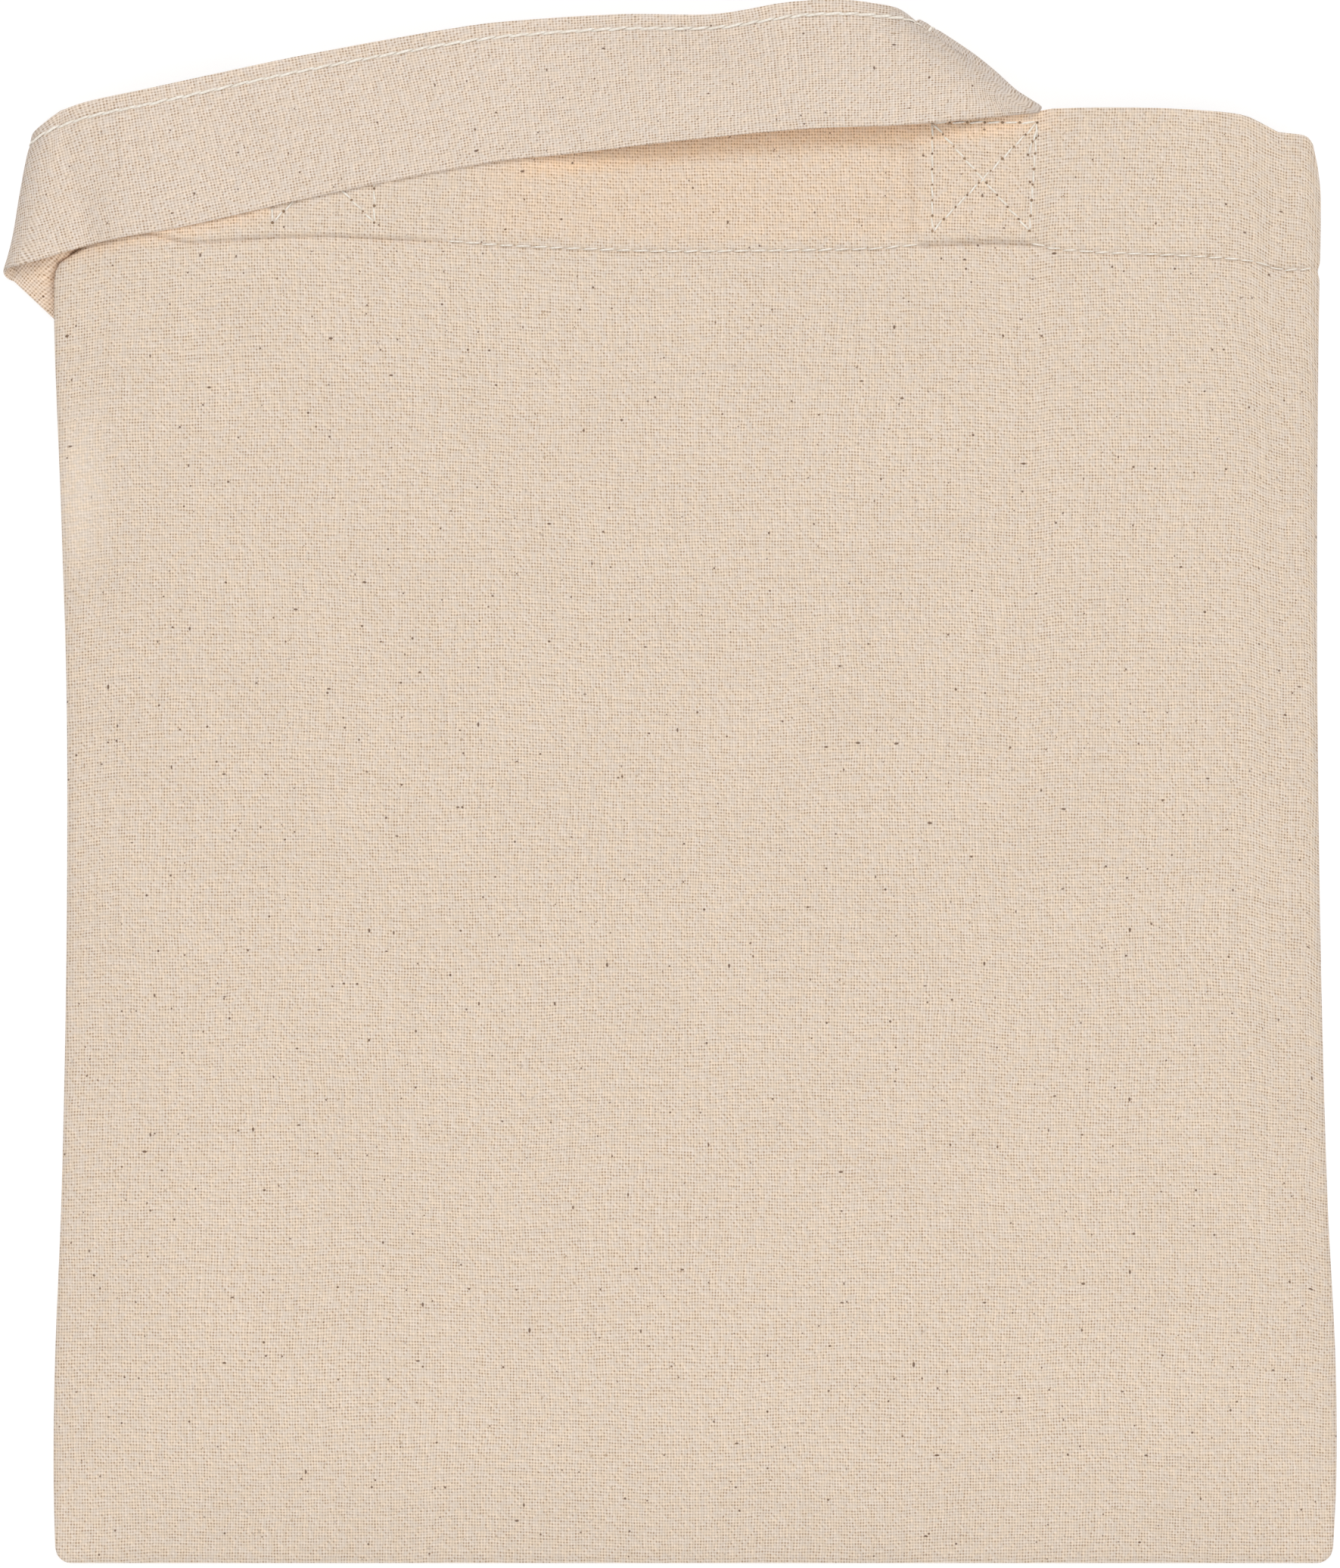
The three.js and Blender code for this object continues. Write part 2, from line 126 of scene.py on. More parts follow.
# Columns: x, y of the row of stitches that holds the hem
HEM_LINE = np.array(
    [
        (-0.1190, 0.1080),
        (-0.0993, 0.1057),
        (-0.0950, 0.1042),
        (-0.0910, 0.1038),
        (-0.0760, 0.1047),
        (-0.0660, 0.1050),
        (-0.0534, 0.1044),
        (-0.0402, 0.1037),
        (-0.0327, 0.1031),
        (-0.0085, 0.1021),
        (0.0021, 0.1019),
        (0.0383, 0.1024),
        (0.0468, 0.1031),
        (0.0590, 0.1038),
        (0.0687, 0.1035),
        (0.0732, 0.1025),
        (0.0811, 0.1018),
        (0.0963, 0.1012),
        (0.1081, 0.1005),
        (0.1126, 0.0999),
        (0.1165, 0.0987),
        (0.1200, 0.0986),
        (0.1250, 0.0990),
    ]
)
# Columns: x, y, reach, lift of the soft swells of the front panel
BILLOWS = np.array(
    [
        (-0.062, -0.020, 0.044, 0.00035),
        (0.058, -0.066, 0.052, -0.00035),
        (0.084, 0.034, 0.038, 0.00030),
        (-0.040, -0.104, 0.036, -0.00025),
        (0.020, 0.060, 0.040, -0.00025),
    ]
)
# Columns: left, right, low and high edge of a patch, and how many layers of strap lift the back there
LIFTS = np.array(
    [
        (-0.084, 0.078, -0.006, 0.160, 1),
        (-0.084, -0.049, -0.006, 0.160, 2),
        (-0.088, -0.045, 0.045, 0.099, 3),
        (-0.140, -0.084, 0.044, 0.128, 1),
        (-0.104, -0.084, 0.044, 0.112, 2),
        (0.042, 0.078, -0.006, 0.040, 2),
    ]
)
# Columns: left and right end, fade and height of the places where the hem bulges over its stitches
LIPS = (
    (-0.0945, -0.0500, 0.009, 0.00042),
    (0.0490, 0.0682, 0.0025, 0.00055),
)
# Columns: x, width, low and high end and height of the soft upright creases of the front
CREASES = (
    (-0.1027, 0.0008, 0.0960, 0.1040, 0.00022),
    (0.0440, 0.0022, 0.1065, 0.1215, -0.00100),
)
# Columns: share of the slanting crease from its upper end, how far it bulges there
BULGE = np.array(
    [
        (0.0, -0.0007),
        (0.10, -0.0004),
        (0.29, -0.0001),
        (0.46, 0.0),
        (0.63, -0.0003),
        (0.80, -0.0008),
        (0.91, -0.0005),
        (1.0, 0.0),
    ]
)
# Columns: x and y of the upper edge, x and y of the lower edge, lift off the bag
STRETCH = np.array(
    [
        (0.0470, 0.1460, 0.0706, 0.1285, 0.0006),
        (0.0450, 0.1477, 0.0645, 0.1279, 0.0010),
        (0.0410, 0.1489, 0.0570, 0.1271, 0.0014),
        (0.0325, 0.1499, 0.0430, 0.1259, 0.0027),
        (0.0220, 0.1493, 0.0290, 0.1254, 0.0030),
        (0.0080, 0.1471, 0.0140, 0.1242, 0.0029),
        (-0.0100, 0.1472, -0.0040, 0.1223, 0.0024),
        (-0.0265, 0.1464, -0.0205, 0.1204, 0.0009),
        (-0.0410, 0.1448, -0.0350, 0.1188, 0.0002),
        (-0.0700, 0.1395, -0.0640, 0.1132, 0.0001),
        (-0.0980, 0.1336, -0.0920, 0.1069, 0.0002),
        (-0.1110, 0.1310, -0.1080, 0.1041, 0.0003),
        (-0.1168, 0.1292, -0.1252, 0.0994, 0.0003),
    ]
)


def smooth(t: Array) -> Array:
    """Ease from 0 to 1: s * s * (3 - 2 s), with s the input held between 0 and 1."""
    s = np.clip(t, 0.0, 1.0)
    return s * s * (3.0 - 2.0 * s)


def bump(distance: Array, width: float) -> Array:
    """Bell that is 1 at no distance: exp of minus (distance / width) squared."""
    return np.exp(-((distance / width) ** 2))


def window(place: Array, low: float, high: float, fade: float) -> Array:
    """1 between two limits, eased to 0 over a fade outside each of them."""
    return smooth((place - low) / fade + 1.0) * smooth((high - place) / fade + 1.0)


def rounding(distance: Array, radius: float) -> Array:
    """Quarter circle, 0 at an edge and 1 a radius inside it: root of 1 - (1 - d) squared."""
    rest = 1.0 - np.clip(distance / radius, 0.0, 1.0)
    return np.sqrt(1.0 - rest * rest)


def unit(vectors: Array) -> Array:
    """Vectors divided by their own lengths."""
    return vectors / np.maximum(np.linalg.norm(vectors, axis=-1, keepdims=True), 1e-12)


@dataclass(frozen=True)
class Curve:
    """A smooth line through the rows of a short table."""

    keys: Array
    values: Array

    def at(self, place: Array) -> Array:
        """Cubic through each pair of rows, whose end slopes come from the rows on either side.

        Args:
            place: where to read, held inside the table.

        Returns:
            The values there.
        """
        keys = self.keys
        values = self.values
        slopes = np.empty_like(values)
        slopes[1:-1] = (values[2:] - values[:-2]) / (keys[2:] - keys[:-2])
        slopes[0] = (values[1] - values[0]) / (keys[1] - keys[0])
        slopes[-1] = (values[-1] - values[-2]) / (keys[-1] - keys[-2])
        held = np.clip(place, keys[0], keys[-1])
        row = np.clip(np.searchsorted(keys, held, side="left") - 1, 0, len(keys) - 2)
        span = keys[row + 1] - keys[row]
        t = (held - keys[row]) / span
        leave = span * slopes[row] * t * (1.0 - t) ** 2
        arrive = span * slopes[row + 1] * t * t * (1.0 - t)
        return values[row] + (values[row + 1] - values[row]) * smooth(t) + leave - arrive


def read(table: Array, place: Array, column: int = 1) -> Array:
    """Smooth line through a column of a table, whose first column says where."""
    return Curve(table[:, 0], table[:, column]).at(place)


def run_along(points: Array) -> Array:
    """Distance of each point from the first, along the line through all of them."""
    steps = np.linalg.norm(np.diff(points, axis=0), axis=-1)
    return np.concatenate([[0.0], np.cumsum(steps)])


def graded(places: list[float], steps: list[float]) -> Array:
    """Grid lines from the first place to the last, whose spacing changes from step to step between places.

    Args:
        places: places in rising order.
        steps: wanted spacing at each of them.

    Returns:
        Grid lines: even steps of the running sum of 1 / spacing, read back as places.
    """
    fine = np.linspace(places[0], places[-1], 20001)
    density = 1.0 / np.interp(fine, places, steps)
    run = np.concatenate([[0.0], np.cumsum((density[1:] + density[:-1]) / 2 * np.diff(fine))])
    count = int(round(run[-1]))
    return np.interp(np.linspace(0.0, run[-1], count + 1), run, fine)


def mirrored(edge: list[float], middle: Array) -> Array:
    """Shares from 0 to 1 with close grid lines beside both ends, from a list of shares at one end."""
    low = np.array(edge)
    inner = middle[(middle > low[-1] * 1.3) & (middle < 1.0 - low[-1] * 1.3)]
    return np.concatenate([low, inner, 1.0 - low[::-1]])


@dataclass(frozen=True)
class StrapEnd:
    """Where a handle is sewn inside the hem, and the box of stitches that shows outside."""

    x: float
    end: float
    box_left: float
    box_low: float
    box_high: float
    right_low: float
    right_high: float

    def sides(self) -> list[tuple[tuple[float, float], tuple[float, float]]]:
        """The box's seams from end to end: left, top and right side and the two diagonals."""
        low_left = (self.box_left, self.box_low)
        high_left = (self.box_left, self.box_high)
        low_right = (self.right_low, self.box_low)
        high_right = (self.right_high, self.box_high)
        return [
            (low_left, high_left),
            (high_left, high_right),
            (high_right, low_right),
            (low_left, high_right),
            (high_left, low_right),
        ]


LEFT_END = StrapEnd(
    x=-0.0665,
    end=0.1070,
    box_left=-0.0761,
    box_low=0.1074,
    box_high=0.1270,
    right_low=-0.0566,
    right_high=-0.0566,
)
RIGHT_END = StrapEnd(
    x=0.0600,
    end=0.1042,
    box_left=0.0502,
    box_low=0.1058,
    box_high=0.1266,
    right_low=0.0688,
    right_high=0.0703,
)


@dataclass(frozen=True)
class BagForm:
    """Outline of the bag in plan and the heights of its front and back panels."""

    bottom: float = -0.1496
    mouth: float = 0.1296
    corner: float = 0.003
    edge: float = 0.0026
    loft: float = 0.0078
    side_run: float = 0.030
    bottom_run: float = 0.030
    settle: float = 0.6
    layer: float = 0.00135
    lift_run: float = 0.014
    lift_spare: float = 0.0003
    hem_proud: float = 0.00030
    pad_proud: float = 0.00055
    strap_width: float = 0.027
    back_drop: float = 0.003
    back_run: float = 0.025
    notch: float = 0.0004
    notch_y: float = 0.0984
    notch_width: float = 0.0011
    hem_soft: float = 0.0008
    row_depth: float = 0.00034
    row_width: float = 0.0005
    crease_fade: float = 0.004
    pad_soft: float = 0.0022
    cover_soft: float = 0.008
    box_depth: float = 0.00036
    box_width: float = 0.00065
    lip_under: float = 0.00010
    lip_rise: float = 0.00028
    lip_flat: float = 0.0004
    lip_fade: float = 0.0022

    def corner_inset(self, y: Array) -> Array:
        """Inset of a side at the rounded bottom corner: radius less the arc's half chord."""
        rest = self.corner - np.clip(y - self.bottom, 0.0, self.corner)
        return self.corner - np.sqrt(self.corner**2 - rest**2)

    def left(self, y: Array) -> Array:
        """X of the left side."""
        return read(SIDES, y) + self.corner_inset(y)

    def right(self, y: Array) -> Array:
        """X of the right side, with a small notch at the hem's row."""
        notch = self.notch * bump(y - self.notch_y, self.notch_width)
        return read(SIDES, y, 2) - self.corner_inset(y) - notch

    def pinched_left(self, y: Array) -> Array:
        """X of the left side where the strap draws it in."""
        return self.left(y) + read(PINCH, y)

    def top(self, x: Array) -> Array:
        """Y of the mouth's edge."""
        return read(TOP_EDGE, x)

    def hem(self, x: Array) -> Array:
        """Y of the hem's row of stitches."""
        return read(HEM_LINE, x)

    def back_fall(self, x: Array, y: Array) -> Array:
        """How much lower the back panel lies than the front at the mouth: nothing at the sides or bottom."""
        inward = smooth((x - self.left(y)) / self.back_run) * smooth((self.right(y) - x) / self.back_run)
        up = np.clip((y - self.bottom) / (self.mouth - self.bottom), 0.0, 1.0)
        return self.back_drop * inward * up**2

    def underside(self, x: Array, y: Array) -> Array:
        """Height of the back panel: the highest of the lifts, each a patch that eases out all round."""
        heights = np.zeros(np.broadcast(x, y).shape)
        for left, right, low, high, layers in LIFTS:
            patch = window(x, left, right, self.lift_run) * window(y, low, high, self.lift_run)
            heights = np.maximum(heights, (layers * self.layer + self.lift_spare) * patch)
        return heights

    def rise(self, distance: Array, run: float) -> Array:
        """Rise from an edge: 1 - (1 - d) squared, steep at the edge and level after the run."""
        rest = 1.0 - np.clip(distance / run, 0.0, 1.0)
        return 1.0 - rest * rest

    def topside(self, x: Array, y: Array) -> Array:
        """Height of the front panel: what lifts the back, an edge's thickness and a crown with swells."""
        below = self.underside(x, y)
        side = np.minimum(x - self.pinched_left(y), self.right(y) - x)
        crown = self.rise(side, self.side_run) * self.rise(y - self.bottom, self.bottom_run)
        swell = np.zeros_like(crown)
        for centre_x, centre_y, reach, lift in BILLOWS:
            swell += lift * bump(np.hypot(x - centre_x, y - centre_y), reach)
        return below + self.edge + crown * (self.loft + swell - self.settle * below)

    def pad(self, x: Array, y: Array, end: StrapEnd, soft: float) -> Array:
        """Height that a sewn strap end adds: a flat pad whose sides ease out over a soft width."""
        half = self.strap_width / 2
        across = smooth((half - np.abs(x - end.x)) / soft + 0.5)
        return self.pad_proud * across * smooth((y - end.end) / soft + 0.5)

    def box_groove(self, x: Array, y: Array, end: StrapEnd) -> Array:
        """Depth to which a box of stitches presses the hem: a bell about the nearest of its seams."""
        near = np.full(x.shape, 1.0)
        for (xa, ya), (xb, yb) in end.sides():
            share = ((x - xa) * (xb - xa) + (y - ya) * (yb - ya)) / ((xb - xa) ** 2 + (yb - ya) ** 2)
            share = np.clip(share, 0.0, 1.0)
            near = np.minimum(near, np.hypot(x - xa - share * (xb - xa), y - ya - share * (yb - ya)))
        return -self.box_depth * bump(near, self.box_width)

    def lip(self, above: Array) -> Array:
        """Section of a hem that bulges over its stitches: steep below, fading out upwards."""
        rising = smooth((above + self.lip_under) / self.lip_rise)
        return rising * bump(np.maximum(above - self.lip_flat, 0.0), self.lip_fade)

    def relief(self, x: Array, y: Array) -> Array:
        """Small forms of the front: the hem's step and groove, its lips, both pads and soft creases."""
        above = y - self.hem(x)
        forms = self.hem_proud * smooth(above / self.hem_soft + 0.4)
        forms -= self.row_depth * bump(above, self.row_width)
        for left, right, fade, height in LIPS:
            forms += height * window(x, left, right, fade) * self.lip(above)
        for middle, width, low, high, height in CREASES:
            forms += height * bump(x - middle, width) * window(y, low, high, self.crease_fade)
        for end in (LEFT_END, RIGHT_END):
            forms += self.pad(x, y, end, self.pad_soft) + self.box_groove(x, y, end)
        return forms

    def cover(self, x: Array, y: Array) -> Array:
        """How far a strap that lies on the front is held off the plain panel by the hem and the pads."""
        pads = [self.pad(x, y, end, self.cover_soft) for end in (LEFT_END, RIGHT_END)]
        return self.hem_proud + sum(pads)

    def front(self, x: Array, y: Array) -> Array:
        """Height of the dressed front panel away from its edges."""
        return self.topside(x, y) + self.relief(x, y)


FORM = BagForm()


def grid_cells(values: Array, turned: bool) -> Array:
    """Values at the four corners of a grid's cells, counter-clockwise, or clockwise if turned."""
    a = values[:-1, :-1]
    b = values[:-1, 1:]
    c = values[1:, 1:]
    d = values[1:, :-1]
    order = (a, d, c, b) if turned else (a, b, c, d)
    return np.stack(order, axis=2).reshape(-1, 4, *values.shape[2:])


@dataclass
class Skin:
    """Two sheets on one grid that share their border, as the faces of a flat closed form."""

    front: Array
    back: Array
    front_uv: Array
    back_uv: Array
    open_end: bool = False

    def indices(self, first: int) -> tuple[Array, Array, Array]:
        """Numbers the points: every front point, then the back points that aren't on the shared border.

        Args:
            first: number of the first point.

        Returns:
            Front numbers, back numbers and the points in order.
        """
        rows, columns = self.front.shape[:2]
        front = first + np.arange(rows * columns).reshape(rows, columns)
        own = np.zeros((rows, columns), bool)
        own[1 : None if self.open_end else -1, 1:-1] = True
        back = front.copy()
        back[own] = first + rows * columns + np.arange(own.sum())
        points = np.concatenate([self.front.reshape(-1, 3), self.back[own]])
        return front, back, points

    def faces(self, front: Array, back: Array, inward: bool) -> tuple[Array, Array]:
        """Cells of both sheets with their cloth coordinates, facing out, or in for an inner skin."""
        quads = [grid_cells(front, inward), grid_cells(back, not inward)]
        uvs = [grid_cells(self.front_uv, inward), grid_cells(self.back_uv, not inward)]
        return np.concatenate(quads), np.concatenate(uvs)


def make_piece(name: str, points: Array, quads: Array, uvs: Array | None) -> Piece:
    """Puts arrays into a smooth mesh at the origin that rides on the bag.

    Args:
        name: name of the piece.
        points: corners, one row each.
        quads: four corner numbers for each face.
        uvs: cloth coordinates for each face's corners, if it has any.

    Returns:
        The piece.
    """
    mesh = bpy.data.meshes.new(name)
    mesh.vertices.add(len(points))
    mesh.vertices.foreach_set("co", points.astype(np.float32).ravel())
    mesh.loops.add(quads.size)
    mesh.loops.foreach_set("vertex_index", quads.astype(np.int32).ravel())
    mesh.polygons.add(len(quads))
    mesh.polygons.foreach_set("loop_start", np.arange(0, quads.size, 4, dtype=np.int32))
    if uvs is not None:
        layer = mesh.uv_layers.new(name=CLOTH_UV)
        layer.data.foreach_set("uv", uvs.astype(np.float32).ravel())
    mesh.update(calc_edges=True)
    mesh.validate()
    mesh.shade_smooth()
    piece = bpy.data.objects.new(name, mesh)
    bpy.context.scene.collection.objects.link(piece)
    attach(piece, BODY)
    return piece


def paint(piece: Piece, name: str, values: Array) -> None:
    """Keeps a number for each point of a piece, under a name that its material reads."""
    layer = piece.data.attributes.new(name, "FLOAT", "POINT")
    layer.data.foreach_set("value", values.astype(np.float32))


class Graph:
    """Adds shader nodes to a material and joins them."""

    def __init__(self, name: str) -> None:
        """Starts a material with nothing but its output."""
        self.material = bpy.data.materials.new(name)
        self.material.use_nodes = True
        self.tree = self.material.node_tree
        self.tree.nodes.clear()
        self.output = self.tree.nodes.new("ShaderNodeOutputMaterial")

    def feed(self, socket: Socket, value: object) -> None:
        """Links a socket to another one, or sets its number or colour."""
        if isinstance(value, Socket):
            self.tree.links.new(value, socket)
        else:
            socket.default_value = value

    def node(self, kind: str, inputs: dict[str, object], **settings: object) -> bpy.types.Node:
        """Adds a node.

        Args:
            kind: the node's type.
            inputs: values or sockets by input name.
            **settings: the node's own properties.

        Returns:
            The node.
        """
        made = self.tree.nodes.new(kind)
        for key, value in settings.items():
            setattr(made, key, value)
        for key, value in inputs.items():
            self.feed(made.inputs[key], value)
        return made

    def math(
        self, operation: str, first: object, second: object = 0.0, kind: str = "ShaderNodeMath"
    ) -> Socket:
        """Result of a sum or function of one or two numbers."""
        made = self.tree.nodes.new(kind)
        made.operation = operation
        self.feed(made.inputs[0], first)
        self.feed(made.inputs[1], second)
        return made.outputs[0]

    def vector(self, operation: str, first: object, second: object) -> Socket:
        """Result of a sum of two vectors."""
        return self.math(operation, first, second, "ShaderNodeVectorMath")

    def noise(self, place: object, scale: float, detail: float, output: str = "Fac") -> Socket:
        """Soft noise at a place, with cells of 1 / scale."""
        inputs = {"Vector": place, "Scale": scale, "Detail": detail}
        return self.node("ShaderNodeTexNoise", inputs).outputs[output]

    def ease(self, value: object, low: float, high: float, start: float, end: float) -> Socket:
        """Smooth step of a value between two limits, from a start to an end."""
        inputs = {"Value": value, "From Min": low, "From Max": high, "To Min": start, "To Max": end}
        return self.node("ShaderNodeMapRange", inputs, interpolation_type="SMOOTHSTEP").outputs[0]

    def blend(self, share: object, first: object, second: object, kind: str = "MIX") -> Socket:
        """Mix of two colours."""
        made = self.tree.nodes.new("ShaderNodeMix")
        made.data_type = "RGBA"
        made.blend_type = kind
        for number, value in ((0, share), (6, first), (7, second)):
            self.feed(made.inputs[number], (*value, 1.0) if isinstance(value, tuple) else value)
        return made.outputs[2]

    def times(self, first: object, *others: object) -> object:
        """Product of numbers."""
        for other in others:
            first = self.math("MULTIPLY", first, other)
        return first

    def scaled(self, start: object, rows: tuple[tuple[object, float, float, float, float], ...]) -> object:
        """Product of a start and of eased factors.

        Args:
            start: number or socket.
            rows: a value, its low and high limit, and the factor at each of these.

        Returns:
            The product.
        """
        for value, low, high, at_low, at_high in rows:
            start = self.times(start, self.ease(value, low, high, at_low, at_high))
        return start

    def wander(self, place: object, scale: float, detail: float, reach: float) -> Socket:
        """Soft noise in the plane of the cloth, about nothing."""
        centred = self.vector("SUBTRACT", self.noise(place, scale, detail, "Color"), (0.5, 0.5, 0.5))
        return self.vector("MULTIPLY", centred, (reach, reach, 0.0))

    def mottled(self, share: object, soft: float, first: object, second: object) -> Socket:
        """Two colours, mixed by a noise that is eased about its middle."""
        return self.blend(self.ease(share, 0.5 - soft, 0.5 + soft, 0.0, 1.0), first, second)

    def painted(self, name: str) -> Socket:
        """Number that a piece keeps for each of its points."""
        return self.node("ShaderNodeAttribute", {}, attribute_name=name).outputs["Fac"]

    def object_place(self) -> Socket:
        """Place in the piece's own frame."""
        return self.node("ShaderNodeTexCoord", {}).outputs["Object"]

    def surface(self, inputs: dict[str, object]) -> Material:
        """Ends the material with one shader of these inputs."""
        shader = self.node("ShaderNodeBsdfPrincipled", inputs)
        self.feed(self.output.inputs[0], shader.outputs[0])
        return self.material


class Weave(Enum):
    """Thread pitch along and across a piece of cloth, in metres."""

    PANEL = (0.000538, 0.000589)
    STRAP = (0.000610, 0.000522)


@dataclass(frozen=True)
class CottonFinish:
    """Unbleached plain-weave cotton: light threads with painted highlights on their crowns, painted brown
    shade in the small gaps between them, slubs and seed flecks.
    """

    name: str
    weave: Weave
    thread: Colour = (0.758, 0.650, 0.552)
    # painted shade in the gaps between the threads, and how strongly the gaps take it
    gap: Colour = (0.43, 0.300, 0.200)
    gap_shade_share: float = 0.69
    warm: Colour = (0.778, 0.643, 0.511)
    fleck: Colour = (0.135, 0.070, 0.038)
    speck: Colour = (0.36, 0.24, 0.14)
    # colour factor for the hem's warmer tone and for painted warm light in the shade beside and under the
    # front strap
    tone_and_painted_light: Colour = (1.135, 0.995, 0.855)
    # colour factor for painted shade along the strap's rounded folds
    painted_fold_shade: Colour = (0.83, 0.845, 0.875)
    roughness: float = 0.92
    sheen: float = 0.12
    relief: float = 0.00012

    def flecks(self, graph: Graph, place: object, squeeze: tuple[float, float, float], scale: float,
               radius: float, share: float) -> Socket:
        """Scattered marks: near the middle of some cells of a random net, stretched one way.

        Args:
            graph: the material's nodes.
            place: cloth coordinates.
            squeeze: factors that stretch the marks.
            scale: cells in a metre.
            radius: size of a mark in cells.
            share: share of the cells that have one.

        Returns:
            1 on a mark, 0 off it.
        """
        stretched = graph.vector("MULTIPLY", place, squeeze)
        net = graph.node("ShaderNodeTexVoronoi", {"Vector": stretched, "Scale": scale, "Randomness": 1.0})
        parts = graph.node("ShaderNodeSeparateColor", {"Color": net.outputs["Color"]})
        chosen = graph.math("LESS_THAN", parts.outputs[0], share)
        size = graph.math("MULTIPLY_ADD", parts.outputs[1], radius * 0.7)
        graph.feed(size.node.inputs[2], radius * 0.65)
        inside = graph.math("SUBTRACT", size, net.outputs["Distance"])
        mark = graph.ease(inside, 0.0, radius * 0.5, 0.0, 1.0)
        depth = graph.ease(parts.outputs[2], 0.0, 1.0, 0.30, 1.0)
        return graph.times(chosen, mark, depth)

    def material(self) -> Material:
        """Weave from two rows of threads: gaps where both sines are near 0, crowns where one passes over."""
        graph = Graph(self.name)
        uv = graph.node("ShaderNodeUVMap", {}, uv_map=CLOTH_UV).outputs[0]

        # Threads wander a little
        place = uv
        for scale, detail, reach in ((22.0, 1.0, 0.0026), (260.0, 2.0, 0.00042)):
            place = graph.vector("ADD", place, graph.wander(uv, scale, detail, reach))
        along, across = self.weave.value
        net = graph.vector("MULTIPLY", place, (1.0 / along, 1.0 / across, 0.0))
        parts = graph.node("ShaderNodeSeparateXYZ", {"Vector": net})
        turns = [graph.times(output, math.pi) for output in parts.outputs[:2]]
        waves = [graph.math("SINE", turn) for turn in turns]
        swing = [graph.math("ABSOLUTE", wave) for wave in waves]

        # Thick and thin yarns: noise drawn out along each direction
        yarn_up = graph.noise(graph.vector("MULTIPLY", place, (1.0, 0.035, 1.0)), 1500.0, 1.0)
        yarn_over = graph.noise(graph.vector("MULTIPLY", place, (0.035, 1.0, 1.0)), 1400.0, 1.0)
        yarn = graph.times(graph.math("ADD", yarn_up, yarn_over), 0.5)

        # Gaps between the threads, every second one a little wider, no two alike, tighter and looser in
        # patches, and shut where the cloth is felted; the gaps carry painted shade
        shy = [graph.math("SUBTRACT", 1.0, part) for part in swing]
        parity = graph.times(*(graph.math("COSINE", turn) for turn in turns))
        nearest = graph.vector("FLOOR", graph.vector("ADD", net, (0.5, 0.5, 0.0)), (0.0, 0.0, 0.0))
        chance = graph.node("ShaderNodeTexWhiteNoise", {"Vector": nearest}).outputs["Value"]
        hole = graph.scaled(
            graph.ease(graph.times(*shy), -0.06, 0.34, 0.0, 1.0),
            (
                (parity, -1.0, 1.0, 0.90, 1.08),
                (chance, 0.0, 1.0, 0.56, 1.40),
                (yarn, 0.36, 0.64, 1.10, 0.90),
                (graph.noise(uv, 760.0, 2.0), 0.34, 0.66, 0.74, 1.24),
                (graph.painted(FELTED), 0.0, 1.0, 1.0, 0.4),
            ),
        )

        # Which thread is on top, and its crown
        over = graph.ease(graph.times(*waves), -0.15, 0.15, 0.0, 1.0)
        upper = graph.times(swing[0], graph.math("POWER", swing[1], 0.5))
        lower = graph.times(swing[1], graph.math("POWER", swing[0], 0.5))
        crown = graph.math("ADD", lower, graph.times(graph.math("SUBTRACT", upper, lower), over))

        # Colour: the level paints thread crowns a little lighter and their sides darker, a painted shading
        # of round threads
        colour = graph.mottled(graph.noise(uv, 560.0, 3.0), 0.12, self.thread, self.warm)
        crossing = graph.vector("FLOOR", net, (0.0, 0.0, 0.0))
        chance = graph.node("ShaderNodeTexWhiteNoise", {"Vector": crossing}).outputs["Value"]
        level = graph.scaled(
            1.0,
            (
                (yarn, 0.34, 0.66, 0.98, 1.02),
                (chance, 0.0, 1.0, 0.95, 1.05),
                (crown, 0.0, 1.0, 0.94, 1.045),
                (graph.noise(uv, 45.0, 3.0), 0.3, 0.7, 0.992, 1.008),
            ),
        )
        grey = graph.node("ShaderNodeCombineColor", {})
        for socket in grey.inputs[:3]:
            graph.feed(socket, level)
        colour = graph.blend(1.0, colour, grey.outputs[0], "MULTIPLY")
        # Painted shade in the gaps between threads
        colour = graph.blend(graph.times(hole, self.gap_shade_share), colour, self.gap)

        # A warmer tone of the hem with painted warm light in the strap's shadow, and painted shade along the
        # strap's rounded folds, where the piece has them
        for name, tone in ((TONE_AND_PAINTED_LIGHT, self.tone_and_painted_light), (PAINTED_FOLD_SHADE, self.painted_fold_shade)):
            colour = graph.blend(graph.painted(name), colour, tone, "MULTIPLY")

        # Paler specks and seed flecks, with ragged edges
        torn = graph.vector("ADD", uv, graph.wander(uv, 1900.0, 2.0, 0.00022))
        for tone, strength, squeeze, scale, radius, share in (
            (self.speck, 0.5, (1.0, 1.0, 1.0), 330.0, 0.10, 0.28),
            (self.fleck, 0.87, (1.0, 1.0, 1.0), 470.0, 0.104, 0.90),
            (self.fleck, 0.87, (0.5, 1.0, 1.0), 330.0, 0.070, 0.55),
            (self.fleck, 0.87, (1.0, 0.5, 1.0), 310.0, 0.070, 0.55),
        ):
            marks = self.flecks(graph, torn, squeeze, scale, radius, share)
            colour = graph.blend(graph.times(marks, strength), colour, tone)

        # Relief of the threads
        height = graph.math("ADD", graph.math("SUBTRACT", crown, graph.times(hole, 0.8)), yarn)
        raised = graph.node("ShaderNodeBump", {"Strength": 0.5, "Distance": self.relief, "Height": height})
        return graph.surface(
            {
                "Base Color": colour,
                "Roughness": self.roughness,
                "Specular IOR Level": 0.2,
                "Sheen Weight": self.sheen,
                "Sheen Roughness": 0.6,
                "Normal": raised.outputs[0],
            }
        )


